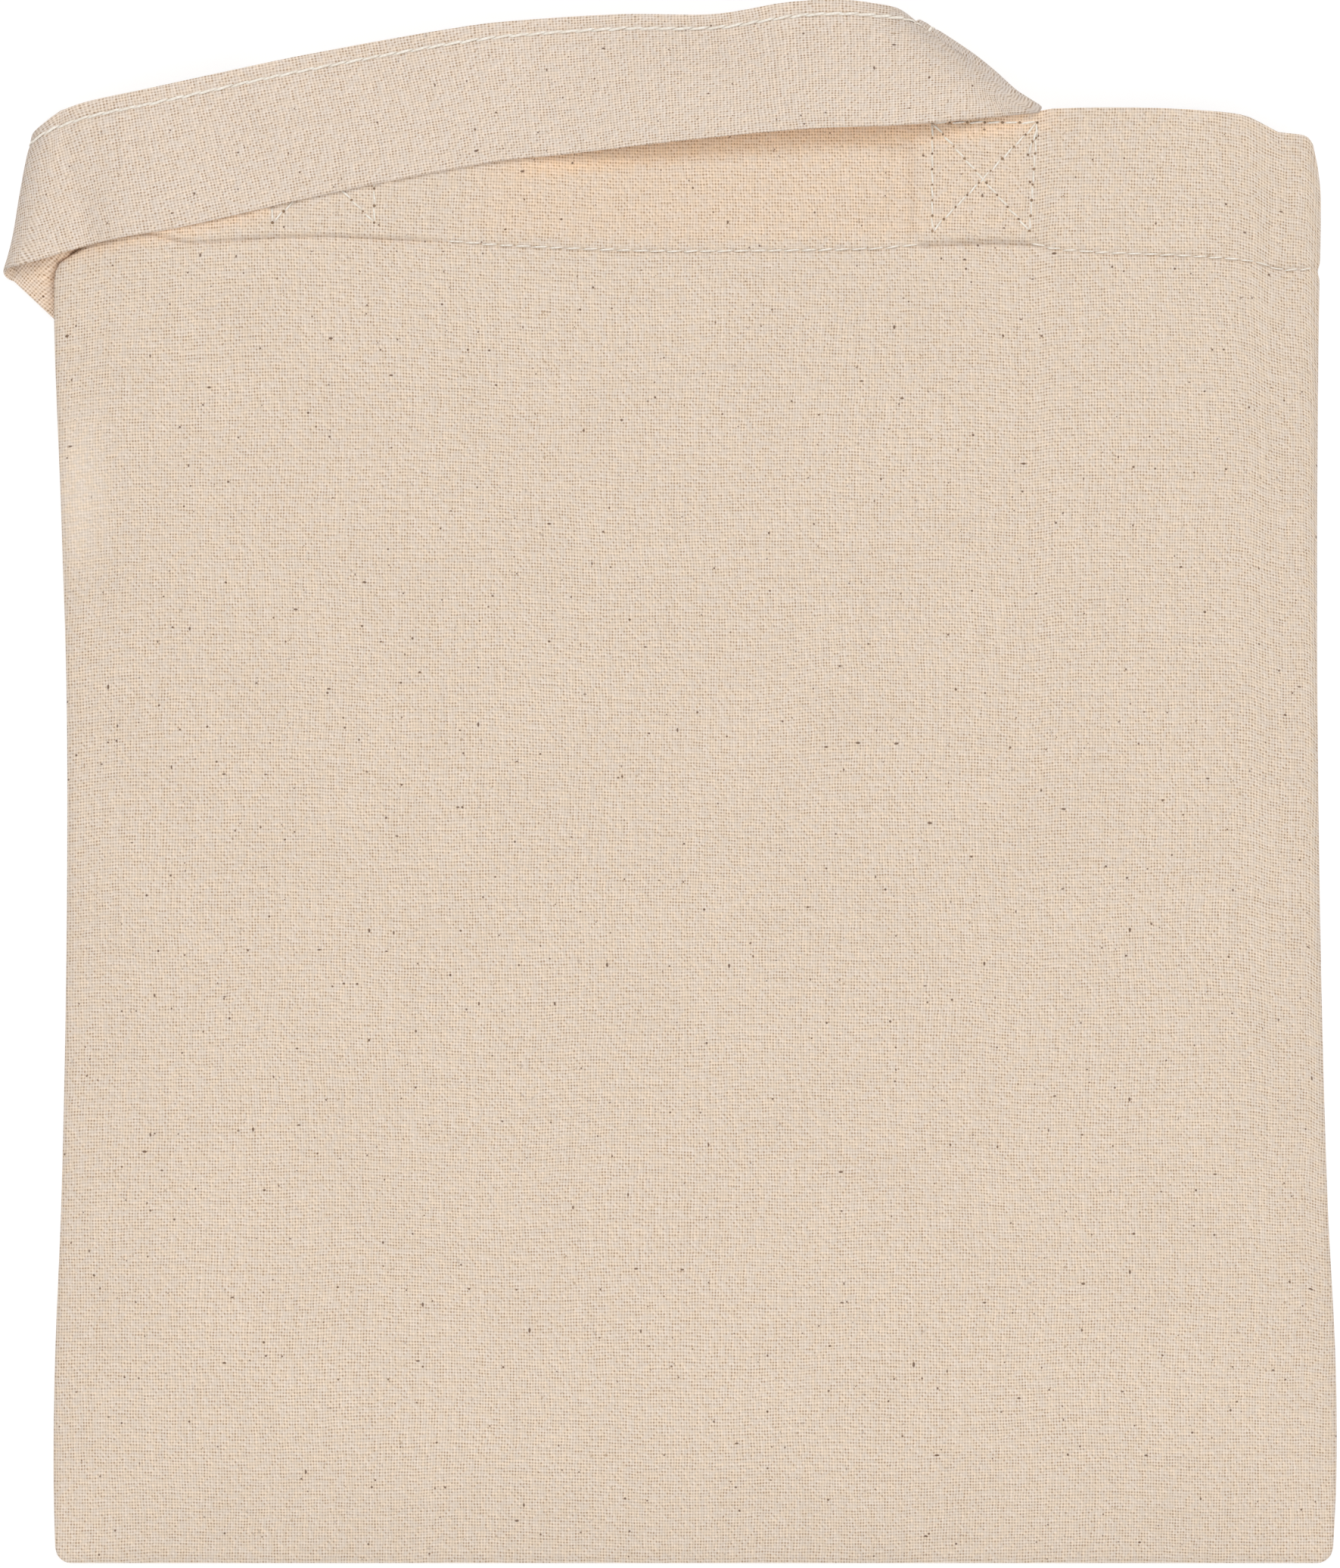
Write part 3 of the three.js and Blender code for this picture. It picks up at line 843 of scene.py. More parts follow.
@dataclass(frozen=True)
class ThreadFinish:
    """Off-white sewing thread, a little uneven along its length."""

    name: str = "sewing_thread"
    light: Colour = (0.870, 0.820, 0.740)
    dull: Colour = (0.755, 0.677, 0.578)
    roughness: float = 0.6

    def material(self) -> Material:
        """Fine noise between two tints, with a fine bump for the twist."""
        graph = Graph(self.name)
        place = graph.object_place()
        twist = graph.noise(place, 6000.0, 1.0)
        raised = graph.node("ShaderNodeBump", {"Strength": 0.4, "Distance": 0.00005, "Height": twist})
        return graph.surface(
            {
                "Base Color": graph.mottled(graph.noise(place, 1600.0, 2.0), 0.2, self.light, self.dull),
                "Roughness": self.roughness,
                "Specular IOR Level": 0.35,
                "Sheen Weight": 0.1,
                "Normal": raised.outputs[0],
            }
        )


@dataclass(frozen=True)
class HoleFinish:
    """Shaded cloth at the bottom of a needle hole."""

    name: str = "needle_hole"
    deep: Colour = (0.19, 0.12, 0.075)
    rim: Colour = (0.33, 0.225, 0.14)

    def material(self) -> Material:
        """Fine noise between a deep and a paler brown."""
        graph = Graph(self.name)
        colour = graph.mottled(graph.noise(graph.object_place(), 900.0, 1.0), 0.2, self.deep, self.rim)
        return graph.surface({"Base Color": colour, "Roughness": 0.95})


@dataclass(frozen=True)
class FloorFinish:
    """Smooth white studio floor, lit a little from below as a light table is."""

    name: str = "studio_floor"
    colour: Colour = (0.33, 0.33, 0.33)
    glow: float = 0.72

    def material(self) -> Material:
        """Plain matt white with very faint unevenness."""
        graph = Graph(self.name)
        pale = tuple(0.99 * part for part in self.colour)
        tone = graph.noise(graph.object_place(), 6.0, 2.0)
        return graph.surface(
            {
                "Base Color": graph.mottled(tone, 0.2, self.colour, pale),
                "Roughness": 0.9,
                "Specular IOR Level": 0.1,
                "Emission Color": (1.0, 1.0, 1.0, 1.0),
                "Emission Strength": self.glow,
            }
        )


@dataclass
class BagBody:
    """The body: an open pocket of one length of cloth with a hem turned in at the mouth."""

    wall: float = 0.0005
    hem_wall: float = 0.0013
    inset: float = 0.0016
    bottom_inset: float = 0.0010
    edge_radius: float = 0.0013
    cut_width: float = 0.262
    cut_length: float = 0.623
    finest: float = 0.00014
    fine: float = 0.00080
    plain: float = 0.0033
    hem_level: float = 0.1030
    rim_step: float = 0.0015
    rim_spare: float = 0.00008
    hem_ease: float = 0.0006
    relief_fade: float = 0.003
    back_row: float = 0.0005
    back_row_width: float = 0.0007
    inner_shift: float = 0.4
    felt_place: tuple[float, float] = (-0.1130, 0.0560)
    felt_size: tuple[float, float] = (0.0055, 0.0170)
    close: tuple[float, ...] = (0.0, 0.00012, 0.0004, 0.0009, 0.0016, 0.0028, 0.0046)

    def shares_across(self) -> Array:
        """Shares of the width, close beside the seams and over the two sewn strap ends."""
        low = float(FORM.left(0.115))
        high = float(FORM.right(0.115))
        half = FORM.strap_width / 2
        marks = [low]
        steps = [self.plain]
        for end in (LEFT_END, RIGHT_END):
            for place, step in (
                (end.x - half - 0.014, self.plain),
                (end.x - half - 0.004, self.fine),
                (end.x + half + 0.004, self.fine),
                (end.x + half + 0.014, self.plain),
            ):
                marks.append(place)
                steps.append(step)
        marks.append(high)
        steps.append(self.plain)
        lines = (graded(marks, steps) - low) / (high - low)
        return mirrored([step / (high - low) for step in self.close], lines)

    def shares_up(self) -> Array:
        """Shares of the height, close beside the bottom fold, at the hem's row and at the mouth's rim."""
        height = FORM.mouth - FORM.bottom
        hem = self.hem_share() * height
        places = [0.0, hem - 0.022, hem - 0.0020, hem - 0.0009, hem + 0.0012, hem + 0.0022, height]
        steps = [self.plain, self.plain, self.fine, self.finest, self.finest, self.fine, self.fine]
        lines = graded(places, steps) / height
        close = np.array(self.close) / height
        rim = 1.0 - np.array([0.0006, 0.0003, 0.0]) / height
        inner = lines[(lines > close[-1] * 1.3) & (lines < rim[0] - 0.0004 / height)]
        return np.concatenate([close, inner, rim])

    def hem_share(self) -> float:
        """Share of the height at which the grid follows the hem's row."""
        return (self.hem_level - FORM.bottom) / (FORM.mouth - FORM.bottom)

    def plan(self, inset: float, bottom_inset: float) -> tuple[Array, Array, Array]:
        """Places of a skin's grid: from side to side, and up from the bottom by the hem's row to the mouth.

        Args:
            inset: inset from the side seams.
            bottom_inset: inset from the bottom fold.

        Returns:
            X, y and distance to the nearest seam or fold, all on the grid.
        """
        across = self.shares_across()
        up = self.shares_up()[:, None]
        split = self.hem_share()
        floor = FORM.bottom + bottom_inset
        y = floor + up * (FORM.mouth - floor) + 0.0 * across
        for _ in range(3):
            low = FORM.pinched_left(y) + inset
            high = FORM.right(y) - inset
            x = low + across * (high - low)
            hem = FORM.hem(x)
            below = floor + (hem - floor) * up / split
            above = hem + (FORM.top(x) - hem) * (up - split) / (1.0 - split)
            y = np.where(up < split, below, above)
        near = np.minimum(np.minimum(x - low, high - x), y - floor)
        return x, y, near

    def skin(self, inner: bool) -> Skin:
        """Front and back sheets of the outer or inner skin.

        A sheet's height is the panel's, less the wall for the inner skin. It closes to the middle of the
        bag along the seams and the bottom fold on a quarter circle, and rolls over at the mouth's rim.
        """
        x, y, near = self.plan(self.inset, self.bottom_inset) if inner else self.plan(0.0, 0.0)
        top = FORM.topside(x, y)
        low = FORM.underside(x, y)
        hem = smooth((y - FORM.hem(x)) / self.hem_ease + 0.5)
        wall = self.wall + (self.hem_wall - self.wall) * hem
        to_rim = FORM.top(x) - y + self.rim_spare
        roll = wall / 2 * (1.0 - rounding(to_rim, self.hem_wall / 2))
        fade = smooth(near / self.relief_fade)
        if inner:
            front = top - wall + roll
            back = low + wall - roll
        else:
            above = y - FORM.hem(x)
            front = top + FORM.relief(x, y) * fade - roll
            back = low + self.back_row * bump(above, self.back_row_width) * fade + roll
        middle = (top + low) / 2
        closing = rounding(near, self.edge_radius)
        front = middle + (front - middle) * closing
        back = middle + (back - middle) * closing
        wide = x - FORM.left(np.array(0.0))
        tall = (y - FORM.bottom) * (FORM.mouth - FORM.bottom) / (FORM.top(x) - FORM.bottom)
        shift = self.inner_shift if inner else 0.0
        return Skin(
            front=np.stack([x, y, front], axis=-1),
            back=np.stack([x, y - FORM.back_fall(x, y), back], axis=-1),
            front_uv=np.stack([wide + shift, tall], axis=-1),
            back_uv=np.stack([wide + shift, -tall], axis=-1),
            open_end=True,
        )

    def build(self) -> Piece:
        """Joins both skins round the mouth: loop by loop, front left to right and back right to left."""
        outer = self.skin(inner=False)
        inner = self.skin(inner=True)
        outer_front, outer_back, outer_points = outer.indices(0)
        inner_front, inner_back, inner_points = inner.indices(len(outer_points))
        outer_quads, outer_uvs = outer.faces(outer_front, outer_back, inward=False)
        inner_quads, inner_uvs = inner.faces(inner_front, inner_back, inward=True)
        outside, inside = (
            np.concatenate([front[-1], back[-1, -2:0:-1]])
            for front, back in ((outer_front, outer_back), (inner_front, inner_back))
        )
        rim = np.stack([outside, np.roll(outside, -1), np.roll(inside, -1), inside], axis=-1)
        run = np.arange(len(outside)) * self.rim_step
        after = run + self.rim_step
        rim_uv = np.zeros((len(rim), 4, 2))
        rim_uv[:, :, 0] = np.stack([run, after, after, run], axis=-1)
        rim_uv[:, 2:, 1] = self.hem_wall
        places = np.concatenate([outer_points, inner_points])
        piece = make_piece(
            "tote_body",
            places,
            np.concatenate([outer_quads, inner_quads, rim]),
            np.concatenate([outer_uvs, inner_uvs, rim_uv]),
        )
        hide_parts("bag_body")
        # Per point: the hem's warmer tone with painted warm light below the strap's edge, and the felted
        # patch
        for name, values in ((TONE_AND_PAINTED_LIGHT, self.tone_and_painted_light), (FELTED, self.felted)):
            paint(piece, name, values(places[:, 0], places[:, 1]))
        return piece

    def felted(self, x: Array, y: Array) -> Array:
        """Where the weave is rubbed shut: a long soft patch beside the left edge."""
        (middle_x, middle_y), (wide, tall) = self.felt_place, self.felt_size
        return bump(np.hypot((x - middle_x) / wide, (y - middle_y) / tall), 1.0)

    def tone_and_painted_light(self, x: Array, y: Array) -> Array:
        """Warm tone of the hem under the front strap: faint all over it, stronger beside the strap, where it
        is painted warm light in the strap's shadow.
        """
        order = np.argsort(STRETCH[:, 2])
        edge = Curve(STRETCH[order, 2], STRETCH[order, 3]).at(x)
        hem = FORM.hem(x)
        tone = np.zeros(x.shape)
        # Columns: line it starts from, how far below it, run, left and right end, fade, share
        for line, below, run, left, right, fade, share in (
            # Rows from the hem: a warmer tone of the hem
            (hem, 0.0, 0.004, -0.030, 0.044, 0.014, 0.30),
            (hem, 0.0, 0.004, 0.054, 0.066, 0.004, 0.15),
            # Rows from the strap's lower edge: painted warm light in the strap's shadow
            (edge, 0.0050, 0.0030, -0.020, 0.064, 0.016, 0.70),
            (edge, 0.0035, 0.0030, -0.112, -0.080, 0.008, 0.60),
        ):
            tone += share * smooth((y - line + below) / run) * window(x, left, right, fade)
        return np.clip(tone, 0.0, 1.0)

    def dress(self, piece: Piece, stitching: list[Piece]) -> None:
        piece.data.materials.append(CottonFinish("body_cotton", Weave.PANEL).material())


@dataclass
class Rungs:
    """Rows of points across a strap with the direction that its face looks in."""

    points: Array
    normals: Array
    folded: Array | bool = False

    @staticmethod
    def join(parts: list["Rungs"]) -> "Rungs":
        """Rows of several runs, one after the other, each normal square to the rows and to the run."""
        points = np.concatenate([part.points for part in parts])
        rough = np.concatenate([part.normals for part in parts])
        folded = np.concatenate([np.full(len(part.points), part.folded) for part in parts])
        face = unit(np.cross(np.gradient(points, axis=0), np.gradient(points, axis=1)))
        return Rungs(points, face * np.sign((face * rough).sum(axis=-1, keepdims=True)), folded)

    @staticmethod
    def single(row: Array, side: float) -> "Rungs":
        """One row by itself, which looks up if the side is 1 and down if it is -1."""
        return Rungs(row[None], np.broadcast_to(UP * side, row[None].shape))


@dataclass
class Handle:
    """A flat strap: cloth folded to four layers, sewn along one edge and laid out along a route."""

    name: str
    node: str
    thick: float = 0.0009
    width: float = 0.027
    gap: float = 0.00035
    step: float = 0.0011
    hem_wall: float = 0.0015
    stitch_from_edge: float = 0.0031
    cut_length: float = 0.42
    droop: float = 0.16
    clear: float = 0.002
    folded_thin: float = 0.4
    folded_run: float = 0.004

    def shares(self) -> Array:
        """Shares of the width from the sewn edge to the fold, close at both edges and at the seam."""
        lines = graded([0.0, 0.004, 0.008, self.width], [0.0005, 0.0005, 0.0012, 0.0012]) / self.width
        return mirrored([step / self.width for step in (0.0, 0.00008, 0.00025, 0.0005, 0.0008)], lines)

    def on_floor(self, layer: int) -> float:
        """Height of the middle of a strap that lies on the floor or on others."""
        return self.thick / 2 + (layer - 1) * FORM.layer

    def seat(self, end: StrapEnd, front: bool) -> float:
        """Height of a sewn end: against the lowest corner of the front hem, or the highest of the back."""
        half = self.width / 2
        x = np.array((end.x - half, end.x + half))[:, None]
        y = np.array((end.end, FORM.mouth))[None, :]
        depth = self.hem_wall + self.gap + self.thick / 2
        if front:
            return float(FORM.topside(x, y).min()) - depth
        return float(FORM.underside(x, y).max()) + depth

    def row(self, start: tuple[float, ...], finish: tuple[float, ...]) -> Array:
        """Points across the strap from one edge to the other."""
        first = np.array(start)
        return first + (np.array(finish) - first) * self.shares()[:, None]

    def run(self, start: Array, finish: Array, side: float) -> Rungs:
        """Rows from one row to another: straight in plan, eased in height, without the last row.

        Args:
            start: first row.
            finish: row after the last.
            side: 1 if the strap's face looks up, -1 if it looks down.

        Returns:
            The rows.
        """
        count = max(2, int(np.linalg.norm(finish - start, axis=-1).mean() / self.step))
        t = np.linspace(0.0, 1.0, count, endpoint=False)[:, None, None]
        points = start + (finish - start) * t
        points[:, :, 2] = start[:, 2] + (finish - start)[:, 2] * smooth(t[:, :, 0])
        return Rungs(points, np.broadcast_to(UP * side, points.shape).copy())

    def fold(self, enter: Array, leave: Array, heading: tuple[float, float], side: float,
             tight: float = 1.0, sag: float = 0.0, lean: float = 0.0) -> Rungs:
        """Rows round a crease: a half circle from the row that enters to the one above or below it.

        Args:
            enter: row that enters the fold.
            leave: row that leaves it.
            heading: plan direction in which the fold bulges.
            side: 1 if the face looks up before the fold, -1 if it looks down.
            tight: how far the fold bulges, as a share of a half circle.
            sag: how far its first edge slips along the crease.
            lean: how steeply the row that enters already falls, as a share of the fold's height.

        Returns:
            The rows between them.
        """
        steps = 18
        crease = unit((enter[-1] - enter[0]) * (1.0, 1.0, 0.0))
        out = np.cross(crease, UP)
        if out @ np.array((*heading, 0.0)) < 0:
            out = -out
        angle = (np.pi * np.arange(1, steps) / steps)[:, None, None]
        climb = (1.0 - np.cos(angle)) / 2 + lean * np.sin(angle) * (1.0 - angle / np.pi)
        reach = np.abs(leave[:, 2:] - enter[:, 2:]) / 2 * np.sin(angle) * tight
        slip = sag * np.sin(angle) * (1.0 - self.shares()[:, None]) ** 3
        points = enter + (leave - enter) * climb + out * reach + crease * slip
        upward = np.sign(leave[0, 2] - enter[0, 2])
        normals = UP * side * np.cos(angle) - out * side * upward * np.sin(angle)
        return Rungs(points, np.broadcast_to(normals, points.shape).copy(), folded=True)

    def route(self) -> Rungs:
        """All rows of the strap from one sewn end to the other."""
        raise NotImplementedError

    def tone_and_painted_light(self, rungs: Rungs) -> Array:
        """Painted warm light on the strap: none, unless a handle says where."""
        return np.zeros(rungs.points.shape[:2])

    def painted_fold_shade(self, rungs: Rungs) -> Array:
        """Painted shade of the strap's rounded folds: none, unless a handle says where."""
        return np.zeros(rungs.points.shape[:2])

    def thinning(self) -> Array:
        """Thickness across the strap as a share of the most: it eases down towards the folded edge."""
        return 1.0 - self.folded_thin * smooth((self.shares() - 1.0) * self.width / self.folded_run + 1.0)

    def half_thickness(self) -> Array:
        """Half of the strap's thickness across it: round at both edges, pressed in along its seam."""
        across = self.shares() * self.width
        near = np.minimum(across, self.width - across)
        pressed = 0.00022 * bump(across - self.stitch_from_edge, 0.0007)
        whole = self.thick / 2 * self.thinning()
        return whole * rounding(near, self.thick * 0.55) - pressed * rounding(near, self.thick)

    def lengthwise(self, rungs: Rungs) -> Array:
        """Length of cloth at each point: that of the strap's middle, slanted as the rows are slanted to it.

        Rows in and beside a fold take their slant from the nearest rows that lie open.
        """
        middle = rungs.points.mean(axis=1)
        length = run_along(middle)
        heading = unit(np.gradient(middle, axis=0))
        slant = ((rungs.points[:, -1] - rungs.points[:, 0]) * heading).sum(axis=-1)
        rows = np.arange(len(middle))
        beside_fold = np.convolve(rungs.folded, np.ones(7), "same") > 0.5
        slant = np.interp(rows, rows[~beside_fold], slant[~beside_fold])
        return length[:, None] + slant[:, None] * (self.shares() - 0.5)

    def build(self) -> Piece:
        """Thickens the rows along their normals into a closed strap with cloth coordinates."""
        rungs = self.route()
        half = self.half_thickness()[:, None]
        shape = rungs.points.shape[:2]
        along = self.lengthwise(rungs)
        across = np.broadcast_to(self.shares() * self.width, shape)
        ends = np.ones((shape[0], 1, 1))
        ends[0] = 0.0
        ends[-1] = 0.0
        skin = Skin(
            front=rungs.points + rungs.normals * half * ends,
            back=rungs.points - rungs.normals * half * ends,
            front_uv=np.stack([along, across], axis=-1),
            back_uv=np.stack([along, -across], axis=-1),
        )
        front, back, points = skin.indices(0)
        quads, uvs = skin.faces(front, back, inward=True)
        piece = make_piece(self.name, points, quads, uvs)
        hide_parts(self.node)
        # Painted warm light and painted fold shade, kept for each point
        for name, tone in ((TONE_AND_PAINTED_LIGHT, self.tone_and_painted_light), (PAINTED_FOLD_SHADE, self.painted_fold_shade)):
            values = np.zeros(len(points))
            values[front] = tone(rungs)
            values[back] = tone(rungs)
            paint(piece, name, values)
        LOG.info("%s is %.0f mm long", self.name, along[-1].mean() * 1000)
        return piece

    def seam_lines(self) -> list["SeamLine"]:
        """The row of stitches beside the sewn edge, on each face."""
        rungs = self.route()
        shares = self.shares() * self.width
        column = int(np.argmin(np.abs(shares - self.stitch_from_edge)))
        half = self.half_thickness()[column]
        points = rungs.points[:, column]
        normals = rungs.normals[:, column]
        keep = slice(6, -6)
        return [
            SeamLine((points + normals * half)[keep], normals[keep]),
            SeamLine((points - normals * half)[keep], -normals[keep]),
        ]

    def dress(self, piece: Piece, stitching: list[Piece]) -> None:
        cotton = CottonFinish(
            f"{self.name}_cotton",
            Weave.STRAP,
            thread=(0.768, 0.665, 0.576),
            warm=(0.786, 0.657, 0.538),
            gap_shade_share=0.70,
        )
        piece.data.materials.append(cotton.material())


@dataclass
class FrontHandle(Handle):
    """The handle that is swept to the left over the mouth and goes round the bag's left edge."""

    shoulder: float = 0.35
    puff: float = 0.0035
    puff_place: tuple[float, float] = (-0.1150, 0.1020)
    puff_reach: float = 0.008
    puff_run: float = 0.0012
    puff_clear: float = 0.0003
    # Place, reach and strength of the painted warm light on the lower layer
    painted_light_place: tuple[float, float] = (-0.1160, 0.1010)
    painted_light_reach: float = 0.011
    painted_light_share: float = 0.8
    # How far the painted fold shade reaches from each crease
    fold_shade_width: float = 0.0062
    left_crease_y: tuple[float, float] = (0.0977, 0.1250)
    left_crease_x: tuple[float, float] = (-0.1280, -0.1222)
    stretch_rows: int = 250
    free: tuple[float, float, float] = (2.3, 5.2, 1.6)
    tip_end: float = 3.4
    tip_fade: float = 1.6
    lower_curl: float = 0.0003
    soften: float = 0.0015
    upper_crease: tuple[float, float] = (0.0474, 0.1456)
    lower_crease: tuple[float, float] = (0.0706, 0.1286)
    over_tight: float = 0.6
    edge_sag: float = 0.0038
    edge_tight: float = 1.6
    edge_lean: float = 0.22
    crest: float = 0.0022
    roll: float = 0.0011
    roll_width: float = 0.0014
    rest_gap: float = 0.0001
    left_slip: float = 0.003
    turn_up: float = 0.059
    turn_slant: float = 0.00575
    left_wrap: float = 0.1324
    behind: tuple[tuple[float, int], ...] = ((0.3, 1), (0.56, 2))

    def fall(self, distance: Array, slope: float) -> Array:
        """Fall past an edge: level for a clearance, then a slope that starts softly."""
        return slope * self.soften * np.logaddexp(0.0, (distance - self.clear) / self.soften)

    def over_bag(self, x: Array, y: Array) -> tuple[Array, Array, Array]:
        """Height of the strap's middle where it lies on the bag, and how far it is past mouth and left edge.

        Half of the inset of the drawn-in side is not counted: the strap is held up there by its lower layer.
        """
        past = np.maximum(0.0, y - FORM.top(x))
        inset = FORM.pinched_left(y) - FORM.left(y)
        beside = np.maximum(0.0, FORM.pinched_left(y) - x)
        under_x = x + beside
        under_y = y - past
        cloth = FORM.topside(under_x, under_y) + FORM.cover(under_x, under_y)
        return cloth + self.rest_gap + self.thick / 2, past, np.maximum(0.0, beside - inset / 2)

    def stretch(self) -> Rungs:
        """The stretch across the mouth: plan from the table, height from what it lies on.

        Where the sewn edge stands up, between two rows of the table with a fade outside them, its fall
        past the mouth is taken out and a crest added. The crest is highest just inside that edge and gone
        before the middle. The lower edge curls up a little there.
        """
        places = np.linspace(0.0, len(STRETCH) - 1.0, self.stretch_rows)
        rows = np.arange(len(STRETCH), dtype=float)
        upper_x, upper_y, lower_x, lower_y, lift = (Curve(rows, column).at(places) for column in STRETCH.T)
        share = self.shares()[None, :]
        x = upper_x[:, None] + (lower_x - upper_x)[:, None] * share
        y = upper_y[:, None] + (lower_y - upper_y)[:, None] * share
        seat, past, beside = self.over_bag(x, y)
        free = window(places, *self.free)[:, None]
        crest = self.crest * np.clip((0.6 - share) / 0.5, 0.0, 1.0) ** 1.4
        curl = self.lower_curl * smooth((share - 0.75) / 0.25)
        rolled = 1.0 - rounding((1.0 - share) * self.width, self.roll_width)
        at_tip = smooth((self.tip_end - places) / self.tip_fade)[:, None]
        z = seat + lift[:, None] + free * (crest + curl) - self.roll * rolled * at_tip
        z -= (1.0 - free) * self.fall(past, self.droop) + self.fall(beside, self.shoulder)
        z -= self.thick / 2 * (1.0 - self.thinning())
        points = np.stack([x, y, z], axis=-1)
        points += self.bulge() * smooth((2.0 - places) / 2.0)[:, None, None]
        return Rungs(points, np.broadcast_to(-UP, points.shape))

    def puffed(self, points: Array) -> Array:
        """How far the strap swells up beside the bag's drawn-in side: a bell, and nothing under the bag."""
        x = points[:, :, 0]
        y = points[:, :, 1]
        outside = smooth((FORM.pinched_left(y) - x - self.puff_clear) / self.puff_run)
        away = np.hypot(x - self.puff_place[0], y - self.puff_place[1])
        return self.puff * outside * bump(away, self.puff_reach)

    def tone_and_painted_light(self, rungs: Rungs) -> Array:
        """Painted warm light on the lower layer beside the bag's drawn-in side, where its face looks up: it
        lightens and warms the shade under the strap's fold.
        """
        x, y, _ = np.moveaxis(rungs.points, -1, 0)
        away = np.hypot(x - self.painted_light_place[0], y - self.painted_light_place[1])
        return self.painted_light_share * bump(away, self.painted_light_reach) * smooth(rungs.normals[:, :, 2] * 2.0)

    def painted_fold_shade(self, rungs: Rungs) -> Array:
        """Painted shade on the upper layer beside the left edge and the slanting crease, where it rounds
        over, fading away from each.
        """
        x, y, _ = np.moveaxis(rungs.points, -1, 0)
        along = unit(np.subtract(self.lower_crease, self.upper_crease))
        from_crease = along[0] * (self.lower_crease[1] - y) - along[1] * (self.lower_crease[0] - x)
        from_left = x - np.interp(y, self.left_crease_y, self.left_crease_x)
        grey = np.zeros(x.shape)
        for distance in (from_crease, from_left):
            grey += np.clip(1.0 - np.maximum(distance, 0.0) / self.fold_shade_width, 0.0, 1.0) ** 1.3
        return grey * smooth(0.7 - rungs.normals[:, :, 2])

    def bulge(self) -> Array:
        """How far the slanting crease bulges out of its straight line, across the strap."""
        heading = np.subtract(self.lower_crease, self.upper_crease)
        out = unit(np.array((-heading[1], heading[0], 0.0)))
        return read(BULGE, self.shares())[:, None] * out

    def route(self) -> Rungs:
        """Right end, slanting crease, stretch, left edge, behind the bag, turn up, mouth, left end."""
        half = self.width / 2
        right = (RIGHT_END.x - half, RIGHT_END.x + half)
        left = (LEFT_END.x + half, LEFT_END.x - half)

        seat = self.seat(RIGHT_END, front=True)
        hung = []
        for x, y in (self.upper_crease, self.lower_crease):
            past = np.maximum(0.0, y - FORM.top(np.array(x)))
            hung.append((x, y, seat - float(self.fall(past, self.droop))))
        root = self.row((right[0], RIGHT_END.end, seat), (right[1], RIGHT_END.end, seat))
        crease = self.row(*hung) + self.bulge()
        share = (FORM.mouth - RIGHT_END.end) / (self.upper_crease[1] - RIGHT_END.end)
        mouth = root + (crease - root) * share
        mouth[:, 2] = seat
        stretch = self.stretch()
        edge = stretch.points[-1]
        over = self.fold(crease, stretch.points[0], (0.0, 1.0), 1.0, tight=self.over_tight)

        slip = unit(edge[-1] - edge[0]) * self.left_slip
        floor = self.on_floor(1)
        first = (edge[0] + slip) * (1.0, 1.0, 0.0) + UP * floor
        last = (edge[-1] + slip) * (1.0, 1.0, 0.0) + UP * floor
        under = self.row(tuple(first), tuple(last))
        bend = (self.edge_tight, self.edge_sag, self.edge_lean)
        round_edge = self.fold(edge, under, (-1.0, 0.0), -1.0, *bend)
        turn = self.row(
            (left[0], self.turn_up + self.turn_slant, self.on_floor(2)),
            (left[1], self.turn_up - self.turn_slant, self.on_floor(2)),
        )
        stops = [under]
        for part, layer in self.behind:
            stop = under + (turn - under) * part
            stop[:, 2] = self.on_floor(layer)
            stops.append(stop)
        stops.append(turn)
        behind = [self.run(start, finish, 1.0) for start, finish in zip(stops[:-1], stops[1:])]
        behind[0].points[:, :, 2] += self.puffed(behind[0].points)
        turned = turn * (1.0, 1.0, 0.0) + UP * floor
        turn_fold = self.fold(turn, turned, (0.0, -1.0), 1.0)

        top = self.seat(LEFT_END, front=True)
        wrap = self.row((left[0], self.left_wrap, floor), (left[1], self.left_wrap, floor))
        wrapped = wrap * (1.0, 1.0, 0.0) + UP * top
        end = self.row((left[0], LEFT_END.end, top), (left[1], LEFT_END.end, top))
        return Rungs.join(
            [
                self.run(root, mouth, 1.0),
                self.run(mouth, crease, 1.0),
                Rungs.single(crease, 1.0),
                over,
                stretch,
                round_edge,
                *behind,
                Rungs.single(turn, 1.0),
                turn_fold,
                self.run(turned, wrap, -1.0),
                Rungs.single(wrap, -1.0),
                self.fold(wrap, wrapped, (0.0, 1.0), -1.0),
                self.run(wrapped, end, 1.0),
                Rungs.single(end, 1.0),
            ]
        )


